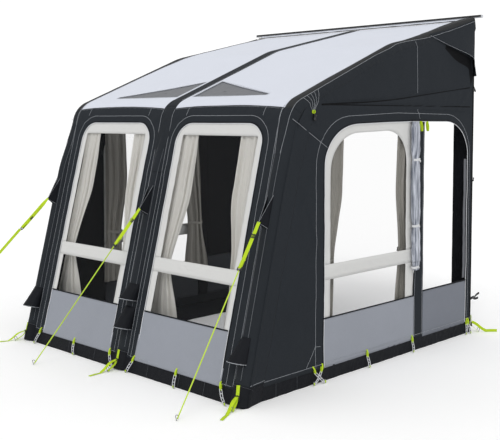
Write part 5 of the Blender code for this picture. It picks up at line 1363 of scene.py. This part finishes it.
def curtain(name, place, towards, head, facing, seed, lean, cloth):
    # place gives a wall's points from their place along it, height and distance outwards; lean is the wall's
    # slope, as below its waist the curtain hangs plumb, away from a wall that leans
    k, end = curtains, name.rsplit("_", 1)[1]
    fixed = k["fixed"][end] * (towards if end == "inner" else -towards if end == "outer" else 1)
    (top, waist, hem), waistAt = k["widths"][end], k["waistAt"]
    h, c = np.meshgrid(np.linspace(k["hemAt"], head, 90), np.linspace(0, 1, 130), indexing="ij")
    above = smoothStep((h - waistAt) / (head - waistAt) * k["flare"])
    below = smoothStep((waistAt - h) / (waistAt - k["hemAt"]))
    drawn = np.minimum((head - h) / (head - waistAt), 1)
    width = waist + (top - waist) * above + (hem - waist) * below
    tuck = k["tuck"] * drawn + k["hemTuck"][end] * below
    start = np.where(h < waistAt, (waist - width) / 2, 0) - tuck
    hang = smoothStep((head - h) / 0.25)
    deep = k["headDeep"] + (k["deep"] - k["headDeep"]) * hang - 0.008 * np.exp(-(((h - waistAt) / 0.05) ** 2))
    wander = 0.9 * ripples(h * 0.5, h * 0 + seed, seed, 0.5) + 0.5 * ripples(c * 0.5, h * 0.6, seed + 1, 0.3)
    phase = 2 * math.pi * k["folds"] * (c + 0.05 * np.sin(2 * math.pi * c + seed)) + wander * 1.5
    folds = 0.5 - 0.5 * np.cos(phase) * (0.72 + 0.28 * np.sin(c * 9 + seed)) + 0.06 * np.sin(phase * 3.1 + 4 * c + h)
    inwards = k["standOff"] + deep * np.clip(folds, 0, 1) + k["lag"] * drawn + np.maximum(waistAt - h, 0) * lean
    across = (width + tuck) * (c + 0.025 * np.sin(2 * phase) * hang * hump(c))
    across = across + 0.004 * ripples(c * 0.2, h, seed + 2, 0.25) * hang * c
    folded = sheetPart(place(fixed + towards * (start + across), h, -inwards), facing)
    windowFrame = name.replace("curtain", "window_frame").rsplit("_", 1)[0]
    clothPiece("cloth_" + name, [folded], cloth, [windowFrame], held="gathered", body=name, thick=0.0012, stands=name)
    # tie: a strip round the pleats at the waist, with its bow's ends hanging
    turn, drop = turns(40), np.linspace(0, 1, 8)
    middle, core = fixed + towards * (waist * 0.51 - k["tuck"] * 0.49), -k["standOff"] - k["lag"]
    ring = place(middle + (waist + k["tuck"]) * 0.51 * np.cos(turn), waistAt + 0.006 * np.sin(turn * 2),
                 core - 0.013 + 0.0155 * np.sin(turn))
    band = [sweep(ring, strap(k["tieWidth"], 0.0014), (0, 0, 1), closed=True)]
    for aside in k["bow"]:
        out = core + 0.003 - 0.070 * drop * aside + 0.002 * np.sin(drop * 6)
        hanging = place(middle - towards * (0.016 + aside * 0.055 * drop), waistAt - 0.070 * drop, out)
        band.append(sweep(hanging, strap(0.011, 0.0014), facing if abs(facing[1]) > 0.5 else (0, 1, 0)))
    # the side curtains' ties take the darker copy too: painted shade
    piece("tie_" + name, band, whiteTape if cloth is curtainCloth else shadedCurtainCloth, body=name)
    hooks = [place(fixed + towards * top * share, head + 0.004, -k["standOff"] - 0.009)
             for share in np.linspace(0.05, 0.95, 7)]
    piece("gliders_" + name, [toggle(at, facing, length=0.008, radius=0.0045) for at in hooks], paleRubber, body=name)


tracks, lean, frontHead, sideHead = [], math.tan(wallLean), curtains["frontHead"], curtains["sideHead"]
for name, sign in sides.items():
    seed, onSide, way = 200 + 40 * sign, partial(sideSkin, sign), (sign, 0, 0)
    for end, towards, more in (("inner", sign, 0), ("outer", -sign, 5)):
        curtain(f"front_curtain_{name}_{end}", skin, towards, frontHead, frontWay, seed + more, lean, curtainCloth)
    for end, towards, more in (("front", 1, 10), ("rear", -1, 15)):
        # side curtains take the darker copy of the curtain cloth: painted shade
        curtain(f"side_curtain_{name}_{end}", onSide, towards, sideHead, way, seed + more, 0, shadedCurtainCloth)
    channel = np.array(curtains["channel"]) * (1, -sign)
    (x0, x1), (y0, y1) = curtains["tracks"]
    onFront = skin(np.linspace(x0, x1, 30) * sign, frontHead + 0.0085, -0.0072)
    tracks.append(sweep(onFront, channel, (0, 0.25, 0.97)))
    tracks.append(sweep(onSide(np.linspace(y0, y1, 40), sideHead + 0.0085, -0.0072), channel, (0, 0, 1)))
piece("curtainTracks", tracks, whiteTape)
print("curtains made")

# Foot straps: lime webbing from the cuff through a black buckle to a peg, with its tail along the ground
straps = {
    "width": 0.022,
    "thick": 0.0022,
    "top": 0.138,
    "buckle": (0.030, 0.028, 0.006),
    "buckleAt": 0.064,
    "peg": (0.062, 0.006),
    "tail": ((0.045, 0.050), (0.092, 0.013), (0.118, 0.0024), (0.165, 0.0030), (0.215, 0.0022)),
    "turns": {"left": -22.5, "centre": 0.0, "right": 22.5},
    "rearTurn": 45.0,
    "rearShift": 0.009,
}
buckles, pegs, ladders = [], [], []


def footStrap(name, base, outward, slope, onEdge=0.0):
    up = np.array((0, 0, 1.0))
    across = np.cross(outward, up)

    def place(out, z):
        return base + outward * np.asarray(out)[..., None] + up * np.asarray(z)[..., None]

    def sewn(z):
        return 0.0022 - z * slope

    heights = np.linspace(straps["top"], straps["buckleAt"], 8)
    middle = (sewn(straps["buckleAt"]) + 0.002, straps["buckleAt"])
    down = smoothLine([middle, (middle[0] + 0.022, 0.036), straps["peg"]])
    tail = smoothLine([(middle[0] + 0.004, straps["buckleAt"] + 0.004), *straps["tail"]])
    share = np.linspace(0, 1, len(tail))[:, None]
    raised = share < 0.6
    aside = across * 0.010 * np.sin(2.6 * share)
    lean = across * (1 - onEdge) + up * (0.35 * np.sin(5 * share) * raised + onEdge)
    lift = up * (0.0055 * raised + onEdge * straps["width"] / 2)
    strip = strap(straps["width"], straps["thick"])
    parts = [sweep(place(sewn(heights), heights), strip, across),
             sweep(place(*down.T) + across * 0.002, strap(straps["width"] * 0.9, straps["thick"]), across),
             sweep(place(*tail.T) + aside + lift, strip, lean)]
    piece("footStrap_" + name, parts, limeCloth, stands="foot_strap_" + name)
    buckles.extend(ladderLock(place(*middle), up, across, straps["buckle"]))
    pegs.extend(pegHead(place(straps["peg"][0] + 0.004, 0.0), -outward))


for name, turn in straps["turns"].items():
    angle = math.radians(turn)
    outward = np.array((math.sin(angle), -math.cos(angle), 0))
    base = np.array((beamX[name], awning["beamDepth"] / math.cos(wallLean) + footLine, 0))
    base = base + outward * (skirt["cuffRadius"] / math.cos(wallLean) + 0.0006)
    footStrap("front_" + name, base, outward, math.tan(wallLean) * math.cos(angle))
angle = math.radians(straps["rearTurn"])
for name, sign in sides.items():
    outward, level = np.array(((sign * math.sin(angle), math.cos(angle), 0), (sign * math.cos(angle), -math.sin(angle), 0)))
    base = np.array((sign * awning["halfWidth"], footLine + depth, 0)) + level * straps["rearShift"]
    footStrap("rear_" + name, base, outward, 0.0, onEdge=1.0)

# Pegging points: a lime loop at the skirt's top, a pale rubber ladder and a peg
pegging = {
    "loopTop": 0.122,
    "loopEnd": 0.072,
    "loopWidth": 0.014,
    "front": ((-1.02, -1.027, -0.036), (-0.57, -0.532, -0.018), (-0.14, -0.052, -0.020),
              (0.14, 0.107, -0.027), (0.58, 0.607, -0.029), (0.99, 1.095, -0.040)),
    "side": ((0.660, 0.742, 0.039), (0.760, 0.643, 0.026), (1.250, 1.234, 0.037),
             (1.810, 1.790, 0.030), (2.594, 2.540, 0.032), (2.615, 2.600, 0.038)),
    "ladder": (0.021, 0.0050),
    "rungs": 4,
}


def peggingPoint(top, mouth, foot, across, out):
    # loop of narrow webbing, then two rubber rails with rungs that run down to the peg
    foot, across, out = (np.asarray(v, float) for v in (foot, across, out))
    belly = (top + mouth) / 2 + out * 0.006
    loop = [top - out * 0.003, belly, mouth + out * 0.002, mouth - out * 0.004, belly - out * 0.012 + (0, 0, 0.008)]
    limeTrim.append(sweep(smoothLine(loop, 5), strap(pegging["loopWidth"], 0.0018), across))
    lug = [foot + (0, 0, 0.003), foot + out * 0.006 + (0, 0, 0.013), foot + (0, 0, 0.021)]
    limeTrim.append(sweep(smoothLine(lug, 4), strap(0.011, 0.0018), across))
    width, thick = pegging["ladder"]
    run = smoothLine([mouth + (0, 0, 0.004), along(mouth, foot, 0.5) + out * 0.006, foot + (0, 0, 0.006)], 8)
    rail, half = circle(thick / 2, 8), across * width / 2
    ladders.extend(sweep(run + edge, rail, across) for edge in (-half, half))
    for share in np.linspace(0, 1, pegging["rungs"] + 1):
        at = run[int(share * (len(run) - 1))]
        ladders.append(sweep([at - half, at, at + half], rail * 0.9, out + (0, 0, 0.1)))
    pegs.extend(pegHead(foot, mouth - foot, tall=0.022))


loopTop, loopEnd = pegging["loopTop"], pegging["loopEnd"]
for x, footX, footY in pegging["front"]:
    mouth = skin(along(x, footX, 0.2), loopEnd, 0.012)
    peggingPoint(skin(x, loopTop, 0.004), mouth, (footX, footY + footLine, 0), (1, 0, 0), frontWay)
for sign in sides.values():
    for y, footAt, out in pegging["side"]:
        mouth = sideSkin(sign, along(y, footAt, 0.2), loopEnd, 0.010)
        peggingPoint(sideSkin(sign, y, loopTop, 0.003), mouth, sideSkin(sign, footAt, 0, out), (0, 1, 0), (sign, 0, 0))
piece("limeTrim", limeTrim, limeCloth)
piece("toggles", toggles, blackPlastic)
piece("footBuckles", buckles, blackPlastic)
piece("ladders", ladders, paleRubber)
piece("pegs", pegs, steel)
frontStitch, footStitch = [], gridOf(0.075, 1.09, 0.108, 0.108, 90, 1)[0]
for sign in sides.values():
    seam(frontStitch, frontPoint(footStitch * (sign, 1), 0.0040), width=0.0022)
piece("frontStitch", frontStitch, lightThread)
print("straps and pegs made")

# Kador strip: beading in the rail's channel and the wrinkled pale flap from it down to the roof's rear edge
kador = {"half": 1.185, "channel": (2.6922, 2.559), "bead": 0.0034, "flapHalf": 1.165}


def lineAcross(x, y, z):
    return np.stack(np.broadcast_arrays(x, y, z), -1)


line = np.linspace(-kador["half"], kador["half"], 220)
channelY, channelZ = kador["channel"][0] + footLine, kador["channel"][1]
x, share = np.meshgrid(line * kador["flapHalf"] / kador["half"], np.linspace(0, 1, 12), indexing="ij")
seamY, seamZ = skin(0.0, roofEnd - 0.001, 0.002)[1:]
slack = hump(share)
y = along(seamY, channelY, share**1.3) - slack * (0.006 + 0.0050 * ripples(x, share * 0.04, 122, 0.14))
z = along(seamZ, channelZ - 0.004, share) + slack * (0.0040 * ripples(x, share * 0.05, 121, 0.10) - 0.002)
flap = sheetPart(lineAcross(x, y, z), (0, -0.6, 0.5))
clothPiece("kadorFlap", [flap], roofCloth, ["awning_rail"], thick=0.0014, stands="kador_strip")
piece("kadorBead", [sweep(lineAcross(line, channelY, channelZ), circle(kador["bead"]), (0, 1, 0))], whitePiping)
# dark strip under the flap's lower edge along the roof's rear: a painted shadow line between the flap and the roof
hem = lineAcross(line, seamY - 0.008 - 0.003 * ripples(line, 0, 123, 0.2), seamZ + 0.003)
wavy = 1 + 0.5 * ripples(line, 0, 124, 0.12)
piece("roofRearShadowLine", [sweep(hem, strap(0.012, 0.003), (0, 1, 0.6), scale=wavy)], skirtCloth)
lowest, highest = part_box("awning_rail")
# black strip along the rail's front face, just under its top, for the dark line there
lip = lineAcross(np.linspace(lowest[0] + 0.002, highest[0] - 0.002, 60), lowest[1] - 0.0012, highest[2] - 0.008)
piece("railDarkTopLine", [sweep(lip, strap(0.015, 0.0026), (0, 0, 1))], blackPlastic, body="rail")

# Parts of the frame that stay as they are get their finishes
stay = {"awning_rail": railMetal, "rail_end_cap_left": paleRubber, "rail_end_cap_right": paleRubber}
stay |= {name + "_air_tube": tubeFilm for name in beamX}
stay |= {"valve_cap_" + name: blackPlastic for name in ("left", "centre_low", "centre_high", "right")}
for name, finish in stay.items():
    for slot in bpy.data.objects[name].material_slots:
        slot.material = finish
print("rail and finishes made")

# Floor, background and light
studio = {
    "world": 0.78,
    "shown": 1.079,
    "floor": (0.90, 0.90, 0.905, 1.0),
    "floorTints": ((0.895, 0.895, 0.9, 1.0), (0.905, 0.905, 0.91, 1.0)),
    "floorHalf": 60,
    "gain": 1.12,
    "sun": 0.75,
    "sunAngle": 24,
    "sunTurn": (40, 0, 40),
}
floorFinish, tree, shader = newFinish("floor", studio["floor"], 0.55)
connect(tree, shader, {"Base Color": mixColour(tree, noise(tree, 1.4, 3.0), *studio["floorTints"])})
# the camera sees the floor brighter than it lights the object, so that it reads white away from the contact shadow
seen = addNode(tree, "LightPath").outputs["Is Camera Ray"]
bright = addNode(tree, "BsdfDiffuse", {"Color": (studio["gain"],) * 3 + (1.0,)})
mixed = addNode(tree, "MixShader", {0: seen, 1: shader.outputs[0], 2: bright.outputs[0]})
connect(tree, tree.nodes["Material Output"], {"Surface": mixed.outputs[0]})
floorMesh, reach = bpy.data.meshes.new("floor"), studio["floorHalf"]
floorMesh.from_pydata([(-reach, -reach, 0), (reach, -reach, 0), (reach, reach, 0), (-reach, reach, 0)], [], [(0, 1, 2, 3)])
floorMesh.materials.append(floorFinish)
addObject("floor", floorMesh)

world = bpy.data.worlds.new("studio")
world.use_nodes = True
tree, background = world.node_tree, world.node_tree.nodes["Background"]
background.inputs["Color"].default_value = (1, 1, 1, 1)
seen = addNode(tree, "LightPath").outputs["Is Camera Ray"]
connect(tree, background, {"Strength": mapRange(tree, seen, 0.0, 1.0, studio["world"], studio["shown"])})
scene.world = world
sun = addObject("sun", bpy.data.lights.new("sun", "SUN"))
sun.data.energy = studio["sun"]
sun.data.angle = math.radians(studio["sunAngle"])
sun.rotation_euler = [math.radians(angle) for angle in studio["sunTurn"]]
scene.view_settings.view_transform = "Standard"
